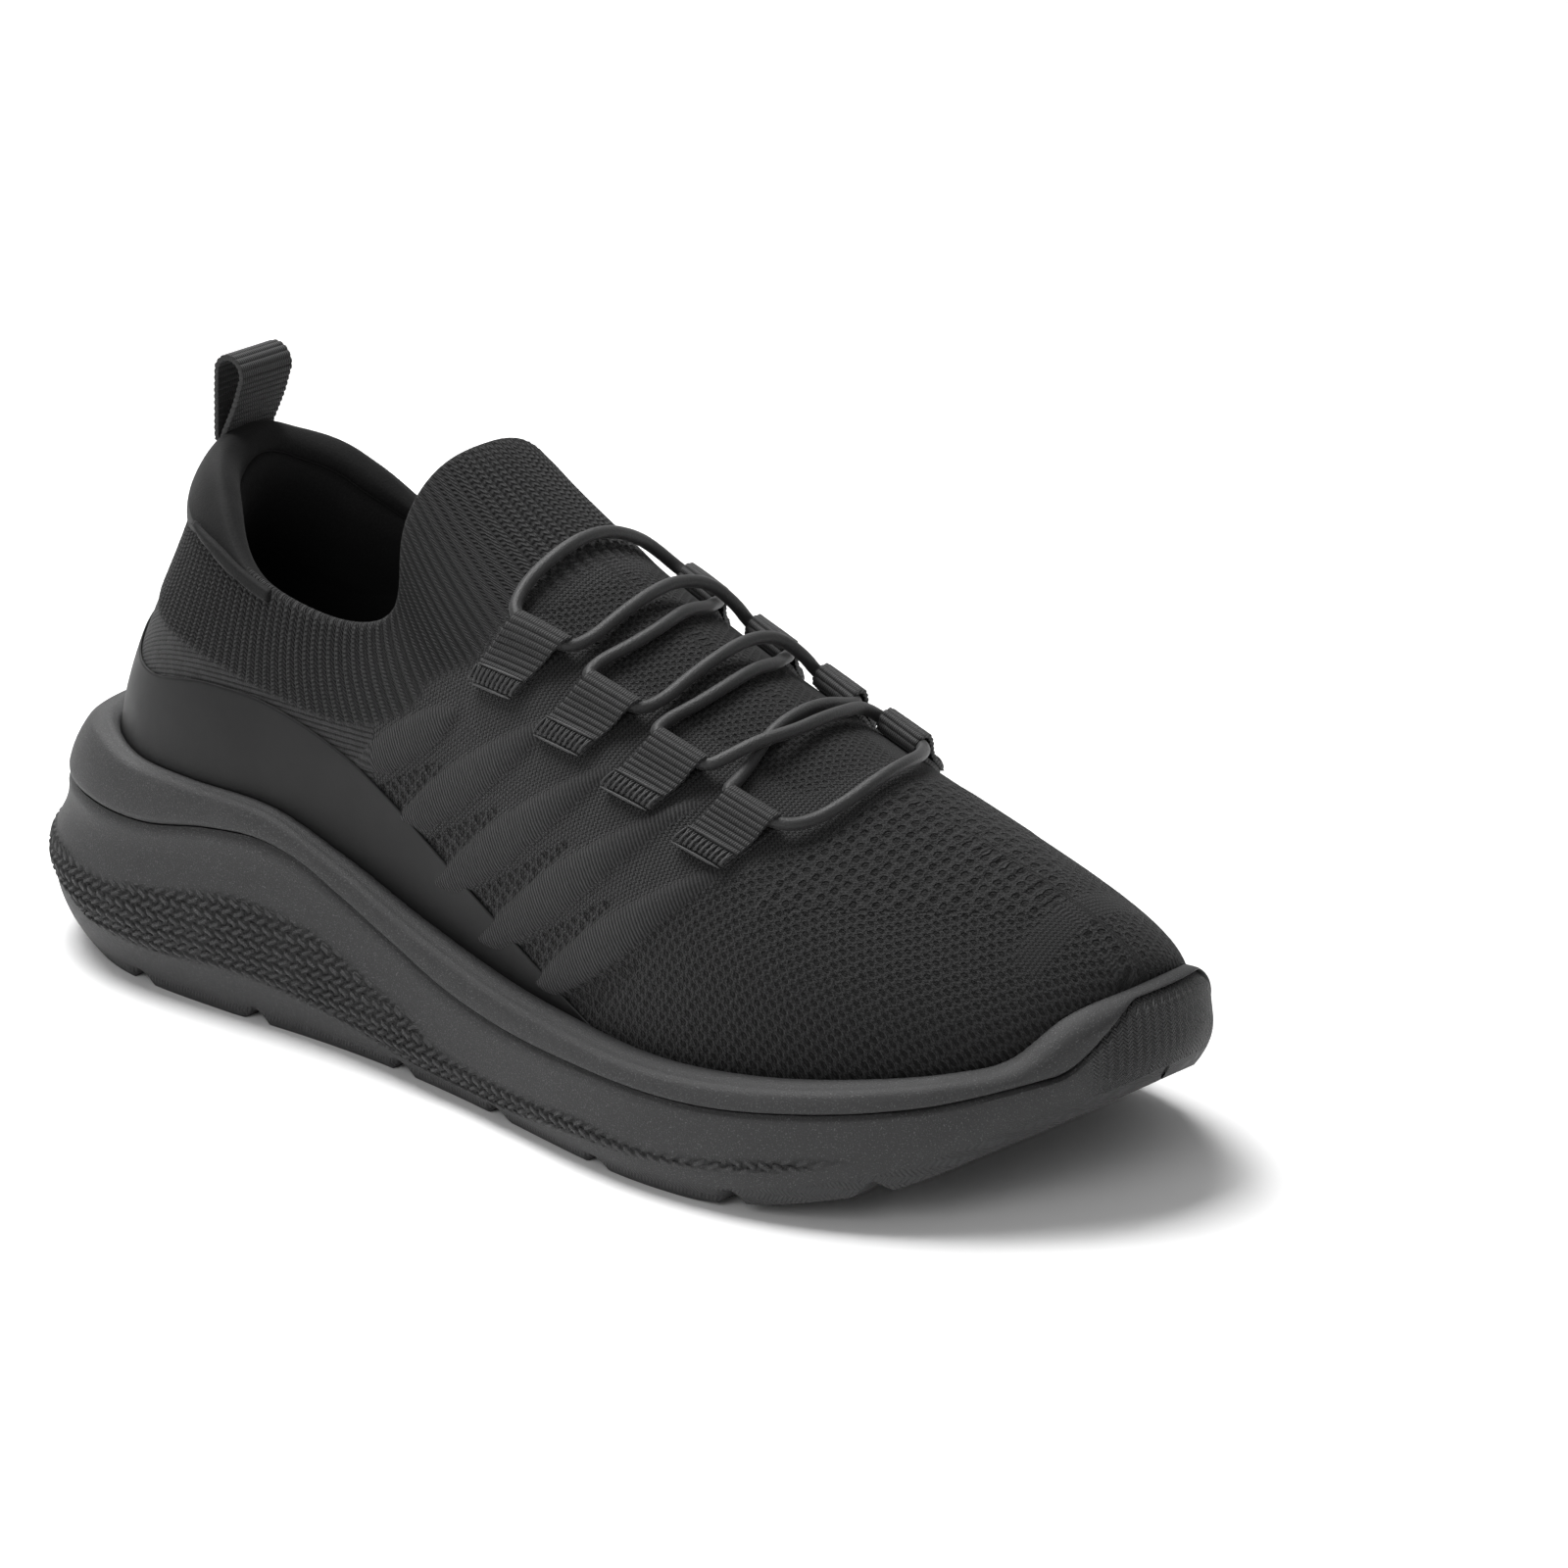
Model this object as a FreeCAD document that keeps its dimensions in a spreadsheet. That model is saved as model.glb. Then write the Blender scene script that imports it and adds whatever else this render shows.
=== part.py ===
import FreeCAD, Part
import math
import os

# A right running shoe: knitted slip-on upper with an elastic lace, on a moulded foam sole.
# Frame: +X towards the toe, +Y to the medial side, +Z up. The origin is on the ground, in the
# middle of the sole's box. Lengths are in millimetres.

os.makedirs("parts", exist_ok=True)
Vector = FreeCAD.Vector
doc = FreeCAD.newDocument("RunningShoe")

# ---------------------------------------------------------------- driving dimensions

DIMENSIONS = {
    "sole_width_scale": 1.0,
    "blank_width": 140.0,
    "block_height": 60.0,
    "outsole_thickness": 4.0,
    "notch_depth": 3.2,
    "notch_width": 7.0,
    "flex_x": 72.0,
    "flex_z": 28.0,
    "flex_wedge_angle": 40.0,
    "bumper_x": 126.0,
    "cup_clearance": 0.9,
    "plan_height": 90.0,
    "strobel_thickness": 1.5,
    "insole_thickness": 4.0,
    "knit_thickness": 1.8,
    "counter_thickness": 1.4,
    "puff_thickness": 0.8,
    "foam_thickness": 4.5,
    "lining_thickness": 0.9,
    "film_thickness": 0.4,
    "strap_width": 12.0,
    "strap_length": 13.5,
    "webbing_thickness": 1.1,
    "eye_radius": 1.75,
    "eye_clearance": 0.15,
    "anchor_thickness": 0.8,
    "hidden_gap": 1.35,
    "foam_gap": 0.3,
    "surface_gap": 0.35,
    "strap_gap": 0.05,
    "tack_length": 3.0,
    "tack_height": 0.7,
    "elastic_diameter": 2.8,
    "pull_width": 15.0,
    "pull_thickness": 1.4,
    "pull_rise": 13.4,
    "pull_top_radius": 4.4,
    "pull_lean": 3.0,
    "pull_base_x": -102.0,
    "pull_base_z": 115.7,
}

sheet = doc.addObject("Spreadsheet::Sheet", "Dimensions")
for row, (alias, value) in enumerate(DIMENSIONS.items(), start=1):
    sheet.set("A%d" % row, alias)
    sheet.set("B%d" % row, str(value))
    sheet.setAlias("B%d" % row, alias)
doc.recompute()


def dim(alias):
    """A driving dimension, read back from the sheet."""
    return float(sheet.get(alias))


# ---------------------------------------------------------------- lines of the last and the sole

# Outline of the sole at its widest, heel first, round the lateral side to the toe and back.
OUTLINE = [
    (-145, -1), (-137, -25), (-118, -40), (-90, -45), (-45, -44), (0, -48.5), (38, -56), (65, -58.5),
    (92, -54), (118, -40), (136, -18), (145, 11), (138, 34), (120, 48.5), (92, 56), (62, 57),
    (30, 52), (-10, 43), (-55, 39), (-95, 40), (-125, 33), (-140, 17.5),
]

# Side lines of the sole as (x, z).
RIM_LINE = [
    (-150, 48.5), (-128, 51), (-104, 49), (-84, 48.8), (-60, 48), (-40, 41.5), (-18, 33.5), (8, 27.8),
    (35, 26), (60, 25.6), (86, 27), (110, 29.5), (126, 32), (133, 34.5), (139, 42), (144, 45), (150, 46),
]
GROOVE_LINE = [
    (-150, 38.5), (-112, 37.5), (-94, 38), (-76, 41), (-62, 42), (-50, 40), (-37, 35), (-21, 29),
    (-3, 23.6), (17, 21), (45, 20.8), (72, 21), (92, 22.5), (119, 26), (137, 31), (150, 35),
]
GROUND_LINE = [
    (-150, 8), (-138, 3.4), (-125, 0.8), (-110, 0), (-60, 0), (0, 0), (70, 0), (83, 1.8), (94, 4),
    (107, 7.4), (116, 10), (133, 17.2), (141, 21.5), (150, 27),
]

# The last, by sixteen stations: 0 at the toe, 1 to 7 along the lateral side, 8 at the heel and
# 9 to 15 back along the medial side. Each station is one meridian of the upper, from the feather
# line, where it leaves the sole, to the edge of the foot opening.
FEATHER = [
    (138, 10, 44), (128, -18, 33), (100, -39, 28), (62, -47, 25.5), (20, -41, 27), (-30, -35, 38),
    (-80, -36, 47), (-114, -27, 47), (-125, -1, 55), (-114, 24, 47), (-80, 31.5, 46), (-30, 31, 38),
    (20, 37, 28), (62, 46, 26), (102, 43, 28), (130, 34, 34),
]
OPENING = [
    (-31, 0, 126), (-32, -10, 124.5), (-33, -19, 119), (-32, -26, 109), (-30, -31, 97), (-46, -33, 92),
    (-75, -31, 98), (-95, -20, 109), (-103, 0, 115), (-95, 20, 107), (-75, 31, 93), (-46, 33, 88),
    (-30, 31, 95), (-32, 26, 108), (-33, 19, 119), (-32, 10, 124.5),
]
# How a meridian leaves the feather line, as (outward, up), and how it arrives at the opening.
LEAVE = [
    (4, 20), (3, 26), (3, 31), (3, 30), (2, 26), (1, 22), (1, 20), (-1, 20), (-2, 20), (-1, 20),
    (1, 20), (1, 21), (2, 22), (3, 24), (3, 23.5), (4, 23),
]
ARRIVE = [
    (85, 0, -56), (75, -12, -57), (55, -16, -46), (28, -10, -30), (8, -6, -20), (-2, -4, -22),
    (-4, -3, -22), (-4, -4, -22), (-4, 0, -22), (-4, 4, -22), (-4, 3, -22), (-2, 4, -22),
    (6, 4, -26), (24, 8, -36), (48, 12, -48), (74, 12, -57),
]
STATIONS = len(FEATHER)
TOE, HEEL = 0, 8


def closed_curve(points):
    """Smooth closed curve through the points, its parameter a whole number at each."""
    curve = Part.BSplineCurve()
    curve.interpolate(
        Points=[Vector(*point) for point in points],
        PeriodicFlag=True,
        Parameters=[float(i) for i in range(len(points) + 1)],
    )
    return curve


def height(line, x):
    """Height of a side line at x: cubic spans with the neighbours' slope at each point."""
    i = 1
    while i < len(line) - 2 and x > line[i][0]:
        i += 1
    (xa, za), (xb, zb) = line[i - 1], line[i]

    def slope(k):
        low = line[max(k - 1, 0)]
        high = line[min(k + 1, len(line) - 1)]
        return (high[1] - low[1]) / (high[0] - low[0])

    span = xb - xa
    s = (x - xa) / span
    start = za * (1 - s) ** 2 * (1 + 2 * s) + slope(i - 1) * span * s * (1 - s) ** 2
    return start + zb * s * s * (3 - 2 * s) - slope(i) * span * s * s * (1 - s)


outline_curve = closed_curve([(x, y * dim("sole_width_scale"), 0) for x, y in OUTLINE])
feather_curve = closed_curve(FEATHER)
opening_curve = closed_curve(OPENING)
leave_curve = closed_curve([(out, up, 0) for out, up in LEAVE])
arrive_curve = closed_curve(ARRIVE)


def plan_point(curve, station, inset):
    """Point of a closed plan curve, moved inwards by inset."""
    here = curve.value(station)
    along = curve.tangent(station)[0]
    inward = Vector(-along.y, along.x, 0).normalize()
    if inward.dot(here) > 0:
        inward = inward * -1
    return here + inward * inset


def upper_point(station, level):
    """Outer face of the upper: level 0 is the feather line, 1 the edge of the opening.
    Below 0 the knit drops straight down inside the rim, to the footbed at -1."""
    station = station % STATIONS
    low = feather_curve.value(station)
    if level < 0:
        foot = height(GROOVE_LINE, low.x) + 0.3
        return Vector(low.x, low.y, low.z + (low.z - foot) * level)
    out = plan_point(feather_curve, station, -1) - low
    out.z = 0
    leave = leave_curve.value(station)
    first = low + out * leave.x + Vector(0, 0, leave.y)
    top = opening_curve.value(station)
    second = top + arrive_curve.value(station)
    rest = 1 - level
    return (low * rest ** 3 + first * (3 * level * rest ** 2)
            + second * (3 * level ** 2 * rest) + top * level ** 3)


def upper_inward(station, level):
    """Unit normal of the upper, pointing to the foot."""
    step = 0.02
    low = max(level - step, -1)
    high = min(level + step, 1)
    if low < 0 < high:
        low = 0
    along = upper_point(station + step, level) - upper_point(station - step, level)
    across = upper_point(station, high) - upper_point(station, low)
    normal = along.cross(across)
    return normal.normalize()


INWARD_SIGN = 1 if upper_inward(HEEL, 0.3).x > 0 else -1


def upper_at(station, level, depth):
    """Point at a depth below the upper's outer face; a negative depth stands proud."""
    return upper_point(station, level) + upper_inward(station, level) * (depth * INWARD_SIGN)


# ---------------------------------------------------------------- ways of making a piece

made = []


def keep(item, label):
    """Names a finished sub-part. Its label is the name of its file."""
    item.Label = label
    made.append(item)
    return item


def free_piece(label, shape):
    """A sub-part whose faces follow the last, with no sketch to draw it from."""
    item = doc.addObject("Part::Feature", label)
    item.Shape = shape
    item.Placement = FreeCAD.Placement()
    return item


def origin_plane(body, role):
    return [plane for plane in body.Origin.OriginFeatures if plane.Role == role][0]


def new_sketch(body, name, role):
    sketch = body.newObject("Sketcher::SketchObject", name)
    sketch.AttachmentSupport = (origin_plane(body, role), [""])
    sketch.MapMode = "FlatFace"
    return sketch


def smooth_curve(points):
    curve = Part.BSplineCurve()
    curve.interpolate(Points=points)
    return curve


def stretch(x_from, x_to, pitch=8.0):
    """Evenly spaced places from one x to another, both included."""
    count = max(2, int(round((x_to - x_from) / pitch)))
    return [x_from + (x_to - x_from) * i / count for i in range(count + 1)]


def side_profile(name, lower, upper, x_from, x_to, notches=()):
    """Body padded across the shoe from a side view: between the lower and upper side lines.
    Each notch is a V cut up into the lower edge."""
    body = doc.addObject("PartDesign::Body", name)
    sketch = new_sketch(body, name + "Sketch", "XZ_Plane")
    half = dim("notch_width") / 2
    start = x_from
    corner = Vector(x_from, lower(x_from), 0)
    first = corner
    for notch in list(notches) + [None]:
        end = x_to if notch is None else notch - half
        places = stretch(start, end)
        edge = [Vector(x, lower(x), 0) for x in places]
        edge[0] = corner
        sketch.addGeometry(smooth_curve(edge))
        corner = edge[-1]
        if notch is not None:
            apex = Vector(notch, lower(notch) + dim("notch_depth"), 0)
            far = Vector(notch + half, lower(notch + half), 0)
            sketch.addGeometry(Part.LineSegment(corner, apex))
            sketch.addGeometry(Part.LineSegment(apex, far))
            corner = far
            start = notch + half
    top = [Vector(x, upper(x), 0) for x in stretch(x_from, x_to)]
    sketch.addGeometry(Part.LineSegment(corner, top[-1]))
    sketch.addGeometry(smooth_curve(list(reversed(top))))
    sketch.addGeometry(Part.LineSegment(top[0], first))
    pad = body.newObject("PartDesign::Pad", name + "Pad")
    pad.Profile = sketch
    pad.Midplane = True
    pad.setExpression("Length", "Dimensions.blank_width")
    return body


def plan_prism(name, curve, inset):
    """Body padded straight up from the ground, from a plan curve moved inwards by inset."""
    body = doc.addObject("PartDesign::Body", name)
    sketch = new_sketch(body, name + "Sketch", "XY_Plane")
    count = int(curve.LastParameter) * 3
    points = [plan_point(curve, i / 3.0, inset) for i in range(count)]
    flat = [Vector(point.x, point.y, 0) for point in points]
    ring = Part.BSplineCurve()
    ring.interpolate(Points=flat, PeriodicFlag=True)
    sketch.addGeometry(ring)
    pad = body.newObject("PartDesign::Pad", name + "Pad")
    pad.Profile = sketch
    pad.setExpression("Length", "Dimensions.plan_height")
    return body


def common(label, base, tool):
    item = doc.addObject("Part::Common", label)
    item.Base = base
    item.Tool = tool
    item.Refine = False
    return item


def cut(label, base, tool):
    item = doc.addObject("Part::Cut", label)
    item.Base = base
    item.Tool = tool
    item.Refine = False
    return item


def raised(line, by=0.0):
    return lambda x: height(line, x) + by


def grid_face(rows):
    surface = Part.BSplineSurface()
    surface.interpolate(rows)
    return surface.toShape()


def border(face, first, last):
    """The edge of a face that runs between two of its corners."""
    def near(a, b):
        return a.distanceToPoint(b) < 0.02

    for edge in face.Edges:
        ends = [vertex.Point for vertex in edge.Vertexes]
        if len(ends) != 2:
            continue
        if near(ends[0], first) and near(ends[1], last):
            return edge
        if near(ends[1], first) and near(ends[0], last):
            return edge
    raise RuntimeError("no such border")


def layer(places, outer, inner):
    """Closed solid between two faces that follow the upper. places is a grid of (station, level);
    outer and inner give the depth of each face there."""
    outside = [[upper_at(u, v, outer(u, v)) for u, v in row] for row in places]
    inside = [[upper_at(u, v, inner(u, v)) for u, v in row] for row in places]
    face_out = grid_face(outside)
    face_in = grid_face(inside)
    faces = [face_out, face_in]
    corners = [(0, 0), (0, -1), (-1, -1), (-1, 0)]
    for k in range(4):
        a, b = corners[k], corners[(k + 1) % 4]
        edge_out = border(face_out, outside[a[0]][a[1]], outside[b[0]][b[1]])
        edge_in = border(face_in, inside[a[0]][a[1]], inside[b[0]][b[1]])
        faces.append(Part.makeRuledSurface(edge_out, edge_in))
    return closed_solid(faces)


def closed_solid(faces):
    shell = Part.makeShell(faces)
    shell.sewShape()
    shell = Part.Shell(shell.Faces)
    solid = Part.Solid(shell)
    if solid.Volume < 0:
        solid.reverse()
    return solid


def spaced(start, end, count):
    return [start + (end - start) * i / count for i in range(count + 1)]


def flat_depth(value):
    return lambda station, level: value


def patch(first, last, columns, low, high, rows):
    """Grid of places between two stations; low and high are levels, or functions of the station."""
    places = []
    for station in spaced(first, last, columns):
        bottom = low(station) if callable(low) else low
        top = high(station) if callable(high) else high
        places.append([(station, level) for level in spaced(bottom, top, rows)])
    return places


def tangents(station, level):
    step = 0.01
    along = (upper_point(station + step, level) - upper_point(station - step, level)) * (0.5 / step)
    across = (upper_point(station, level + step) - upper_point(station, level - step)) * (0.5 / step)
    return along, across


def walk(place, heading, distance):
    """The place reached by going straight over the upper for a distance, in a plan direction."""
    station, level = place
    steps = max(1, int(abs(distance) / 1.5))
    for _ in range(steps):
        along, across = tangents(station, level)
        normal = along.cross(across).normalize()
        way = (heading - normal * heading.dot(normal)).normalize() * (distance / steps)
        aa, ab, bb = along.dot(along), along.dot(across), across.dot(across)
        wa, wb = way.dot(along), way.dot(across)
        det = aa * bb - ab * ab
        station += (wa * bb - wb * ab) / det
        level += (wb * aa - wa * ab) / det
    return station, level


# ---------------------------------------------------------------- sole

# The moulded block that every sole piece is cut from: flat rings, one above the other, drawn in
# towards the ground and towards the rim, more at the heel where the sole flares behind the upper.
WAIST = 0.35


def sole_inset(x, z):
    heel = min(max((-70 - x) / 60, 0), 1)
    toe = min(max((x - 115) / 25, 0), 1)
    share = min(z / height(RIM_LINE, x), 1.1)
    if share < WAIST:
        return (4.5 + 3.5 * heel) * (1 - share / WAIST) ** 2
    return (4.2 + 4.8 * heel - 2.2 * toe) * ((share - WAIST) / (1 - WAIST)) ** 2


def block_ring(z):
    count = len(OUTLINE) * 3
    points = []
    for i in range(count):
        station = i / 3.0
        x = outline_curve.value(station).x
        point = plan_point(outline_curve, station, sole_inset(x, z))
        point.z = z
        points.append(point)
    ring = Part.BSplineCurve()
    parameters = [i / 3.0 for i in range(count + 1)]
    ring.interpolate(Points=points, PeriodicFlag=True, Parameters=parameters)
    return Part.Wire(ring.toShape())


block_levels = [dim("block_height") * share for share in (0, 0.12, 0.24, 0.38, 0.55, 0.75, 1)]
block = free_piece("sole_block", Part.makeLoft([block_ring(z) for z in block_levels], True, False))

flex_x = dim("flex_x")
bumper_x = dim("bumper_x")
rubber = dim("outsole_thickness")
REAR_END, TOE_END = -149.0, 149.0

# Rubber outsole pads with V grooves across them, cemented under the foam.
OUTSOLE_PADS = {
    "outsole_heel": (REAR_END, -66, [-98]),
    "outsole_shank": (-60, 10, [-19]),
    "outsole_ball": (16, flex_x, [46]),
    "outsole_toe": (flex_x, TOE_END, [83, 112]),
}
for label, (x_from, x_to, notches) in OUTSOLE_PADS.items():
    top = raised(GROUND_LINE, rubber)
    side = side_profile(label + "_side", raised(GROUND_LINE), top, x_from, x_to, notches)
    keep(common(label, block, side), label)

# Foam midsole, from the outsole up to the groove line, which is also the footbed.
for label, x_from, x_to in (("midsole_rear", REAR_END, flex_x), ("midsole_forefoot", flex_x, TOE_END)):
    side = side_profile(label + "_side", raised(GROUND_LINE, rubber), raised(GROOVE_LINE), x_from, x_to)
    keep(common(label, block, side), label)

# Rim: the raised wall of the sole round the upper, open where the upper stands in it.
cup = plan_prism("cup_hollow", feather_curve, -dim("cup_clearance"))
RIM_PIECES = {
    "rim_rear": (REAR_END, flex_x),
    "rim_forefoot": (flex_x, bumper_x),
    "toe_bumper": (bumper_x, TOE_END),
}
for label, (x_from, x_to) in RIM_PIECES.items():
    side = side_profile(label + "_side", raised(GROOVE_LINE), raised(RIM_LINE), x_from, x_to)
    keep(cut(label, common(label + "_band", block, side), cup), label)

# Strobel board and insole, lying in the cup on the footbed.
strobel_top = dim("strobel_thickness")
insole_top = strobel_top + dim("insole_thickness")
BOARDS = {
    "strobel_board": (2.2, 0, strobel_top),
    "insole": (3.9, strobel_top, insole_top),
}
for label, (inset, low, high) in BOARDS.items():
    for end, x_from, x_to in (("rear", REAR_END, flex_x), ("forefoot", flex_x, TOE_END)):
        name = label + "_" + end
        plan = plan_prism(name + "_plan", feather_curve, inset)
        bottom = raised(GROOVE_LINE, low)
        top = raised(GROOVE_LINE, high)
        side = side_profile(name + "_side", bottom, top, x_from, x_to)
        keep(common(name, plan, side), name)

# ---------------------------------------------------------------- knitted upper

knit = dim("knit_thickness")


def bootie_shape():
    """The knitted bootie, one closed ring of fabric from the footbed to the edge of the opening."""
    levels = [-1, -0.5] + spaced(0, 1, 12)
    stations = spaced(HEEL, HEEL + STATIONS, 64)
    grids = [[[upper_at(u, v, depth) for v in levels] for u in stations] for depth in (0, knit)]
    faces = [grid_face(grid) for grid in grids]
    for row in (0, -1):
        rims = []
        for face, grid in zip(faces[:2], grids):
            seam = grid[0][row]
            loops = [edge for edge in face.Edges if edge.isClosed()]
            rims.append(min(loops, key=lambda edge: edge.Vertexes[0].Point.distanceToPoint(seam)))
        faces.append(Part.makeRuledSurface(rims[0], rims[1]))
    return closed_solid(faces)


bootie = free_piece("knit_bootie", bootie_shape())

# The knit is divided where the forefoot bends: a wedge over the ball takes up the bend.
flex_z = dim("flex_z")
lean = math.tan(math.radians(dim("flex_wedge_angle")))
UP, SIDE = 160.0, 80.0


def upright_prism(corners):
    """Prism across the shoe from corners in the side view."""
    points = [Vector(x, -SIDE, z) for x, z in corners]
    wire = Part.makePolygon(points + [points[0]])
    return Part.Face(wire).extrude(Vector(0, 2 * SIDE, 0))


crest_x = flex_x + (UP - flex_z) * lean
REGIONS = {
    "knit_upper_rear": [(-200, -5), (flex_x, -5), (flex_x, UP), (-200, UP)],
    "vamp_flex": [(flex_x, flex_z), (crest_x, UP), (flex_x, UP)],
    "knit_toe": [(flex_x, -5), (200, -5), (200, UP), (crest_x, UP), (flex_x, flex_z)],
}
for label, corners in REGIONS.items():
    region = free_piece(label + "_region", upright_prism(corners))
    keep(common(label, bootie, region), label)

# ---------------------------------------------------------------- stiffeners, padding and lining

counter = dim("counter_thickness")
anchor = dim("anchor_thickness")
lining = dim("lining_thickness")
gap = dim("hidden_gap")
under_knit = knit + gap
lining_out = under_knit + counter + gap


def keep_layer(label, places, outer, inner):
    """Keeps a sheet that follows the upper between two depths."""
    keep(free_piece(label, layer(places, outer, inner)), label)


# Moulded heel counter between the knit and the lining.
places = patch(HEEL - 2, HEEL + 2, 24, 0.02, 0.5, 8)
keep_layer("heel_counter", places, flat_depth(under_knit), flat_depth(under_knit + counter))

# Thin toe puff that keeps the toe box open.
places = patch(TOE - 1.4, TOE + 1.4, 16, 0.02, 0.26, 6)
puff_in = under_knit + dim("puff_thickness")
keep_layer("toe_puff", places, flat_depth(under_knit), flat_depth(puff_in))

# Collar foam and the jersey lining over it. Both swell below the edge of the opening.
SWELL_FROM, SWELL_TO = 0.5, 0.98


def swell(level):
    share = (level - SWELL_FROM) / (SWELL_TO - SWELL_FROM)
    if share <= 0 or share >= 1:
        return 0.0
    return dim("foam_thickness") * math.sin(math.pi * share) ** 2


def swollen_depth(value):
    return lambda station, level: value + swell(level)


foam_gap = dim("foam_gap")
foam_out = under_knit + anchor + foam_gap
places = patch(HEEL - 2.6, HEEL + 2.6, 30, 0.54, 0.95, 8)
keep_layer("collar_foam", places, flat_depth(foam_out), swollen_depth(lining_out - foam_gap))
places = patch(HEEL - 2.8, HEEL + 2.8, 32, 0.06, 0.97, 16)
keep_layer("collar_lining", places, swollen_depth(lining_out), swollen_depth(lining_out + lining))

# Film overlay welded round the heel and tapering forwards along the rim on both sides.
FILM_TOP = [
    (0.0, 0.36), (1.4, 0.38), (2.0, 0.49), (2.5, 0.555), (3.0, 0.48), (3.5, 0.24), (4.0, 0.09), (4.4, 0.03),
]


def film_top(station):
    return height(FILM_TOP, min(abs(station - HEEL), 4.39))


film_reach = FILM_TOP[-1][0]
cover = dim("surface_gap")
places = patch(HEEL - film_reach, HEEL + film_reach, 56, 0.0, film_top, 8)
film_out = -cover - dim("film_thickness")
keep_layer("heel_film_overlay", places, flat_depth(film_out), flat_depth(-cover))

# ---------------------------------------------------------------- lace loops and elastic

FORWARD = Vector(1, 0, 0)
LATERAL = Vector(0, -1, 0)
MEDIAL = Vector(0, 1, 0)
strap_width = dim("strap_width")
strap_length = dim("strap_length")
webbing = dim("webbing_thickness")
eye_radius = dim("eye_radius")
eye_rise = eye_radius + webbing + dim("eye_clearance")
strap_gap = dim("strap_gap")
strap_top = strap_gap + 2 * webbing
tack_foot = strap_top + strap_gap
tack_top = tack_foot + dim("tack_height")
EYE_TO_STRAP = 0.6

# Place of each loop's eye on the upper, back to front.
EYES = {
    "lateral": (LATERAL, [(1.65, 0.81), (1.46, 0.727), (1.345, 0.645), (1.265, 0.554)]),
    "medial": (MEDIAL, [(14.36, 0.80), (14.67, 0.73), (14.89, 0.66), (15.05, 0.59)]),
}


def strap_places(eye, outward, start, end, rows):
    grid = []
    for offset in spaced(-strap_width / 2, strap_width / 2, 4):
        side = walk(eye, FORWARD, offset)
        grid.append([walk(side, outward, distance) for distance in spaced(start, end, rows)])
    return grid


def eye_axis(eye):
    """Centre of a loop's eye and the direction of its bore."""
    station, level = eye
    normal = upper_inward(station, level) * -INWARD_SIGN
    bore = (FORWARD - normal * FORWARD.dot(normal)).normalize()
    return upper_point(station, level) + normal * eye_rise, bore


tacks = []
for side_name, (outward, eyes) in EYES.items():
    for number, eye in enumerate(eyes, start=1):
        centre, bore = eye_axis(eye)
        start = centre - bore * (strap_width / 2)
        barrel = Part.makeCylinder(eye_radius + webbing, strap_width, start, bore)
        hollow = Part.makeCylinder(eye_radius, strap_width + 8, start - bore * 4, bore)
        places = strap_places(eye, outward, EYE_TO_STRAP, strap_length, 6)
        strap = layer(places, flat_depth(-strap_top), flat_depth(-strap_gap))
        label = "lace_loop_%s_%d" % (side_name, number)
        keep(free_piece(label, barrel.fuse(strap).cut(hollow)), label)
        places = strap_places(eye, outward, strap_length - dim("tack_length"), strap_length, 2)
        tacks.append(layer(places, flat_depth(-tack_top), flat_depth(-tack_foot)))
keep(free_piece("bar_tacks", Part.makeCompound(tacks)), "bar_tacks")

# The elastic: one cord through all eight eyes, its two ends meeting inside the first lateral loop.
# Between rows the strands cross, one under the other.
LACE_ROUTE = [
    (5.8, -25.2, 98.7), (-0.6, -26.5, 100.9), (-3.4, -20.5, 105.2), (-3.6, -12, 109.2), (-3, -3, 111.9),
    (-3, 6, 111.5), (-3.4, 14, 108.4), (-3.8, 20.5, 104.5), (-0.9, 27.2, 97.5), (12.3, 24.4, 94.7),
    (14.9, 19, 96), (18.9, 12.5, 97.8), (20.3, 4, 99.8), (21.5, -5, 98.5), (19.9, -13.5, 96),
    (18, -20.5, 94.2), (18.9, -26.1, 92.2), (31.7, -24.1, 87.6), (33.2, -18, 88.5), (33.7, -10, 91.6),
    (34.1, -1, 94.2), (33.9, 8, 95.3), (34.5, 16.5, 94), (36.7, 22.6, 88.6), (37.1, 26.7, 83.4),
    (50.5, 24.7, 80.6), (51.4, 19, 82.2), (52.9, 11, 84.9), (53.7, 2, 85.8), (53.5, -7, 83.9),
    (55, -14.8, 80), (56, -20.8, 77.2), (56.8, -25.8, 76.2), (69.8, -24.2, 71.6), (73.8, -18, 71.9),
    (76.2, -10, 74.6), (77, -1, 77.3), (76.2, 8, 78), (73.4, 16.5, 76.6), (68.1, 24.8, 75.1),
    (54.7, 26.8, 77.7), (54.4, 20.4, 82), (56.7, 12.5, 83.7), (58.1, 3.5, 84.8), (57.9, -5.5, 84.3),
    (55.8, -13.5, 84), (52.6, -20.5, 81.3), (50.2, -24.2, 79.6), (37.4, -26, 84.2), (36.5, -20.5, 85.8),
    (38.4, -13.5, 87.6), (40, -5, 90.2), (39.6, 4, 91.4), (38.2, 12.5, 89.8), (34.2, 19, 88.3),
    (31.6, 24.4, 87.1), (18.4, 26.8, 90.1), (18, 22.6, 95.7), (15.8, 16.5, 101.7), (14.4, 8, 103.8),
    (14.6, -1, 103.2), (14.2, -10, 100.6), (13.7, -18, 97.5), (12.2, -23.9, 96.5), (6.2, -25.1, 98.6),
]


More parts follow.
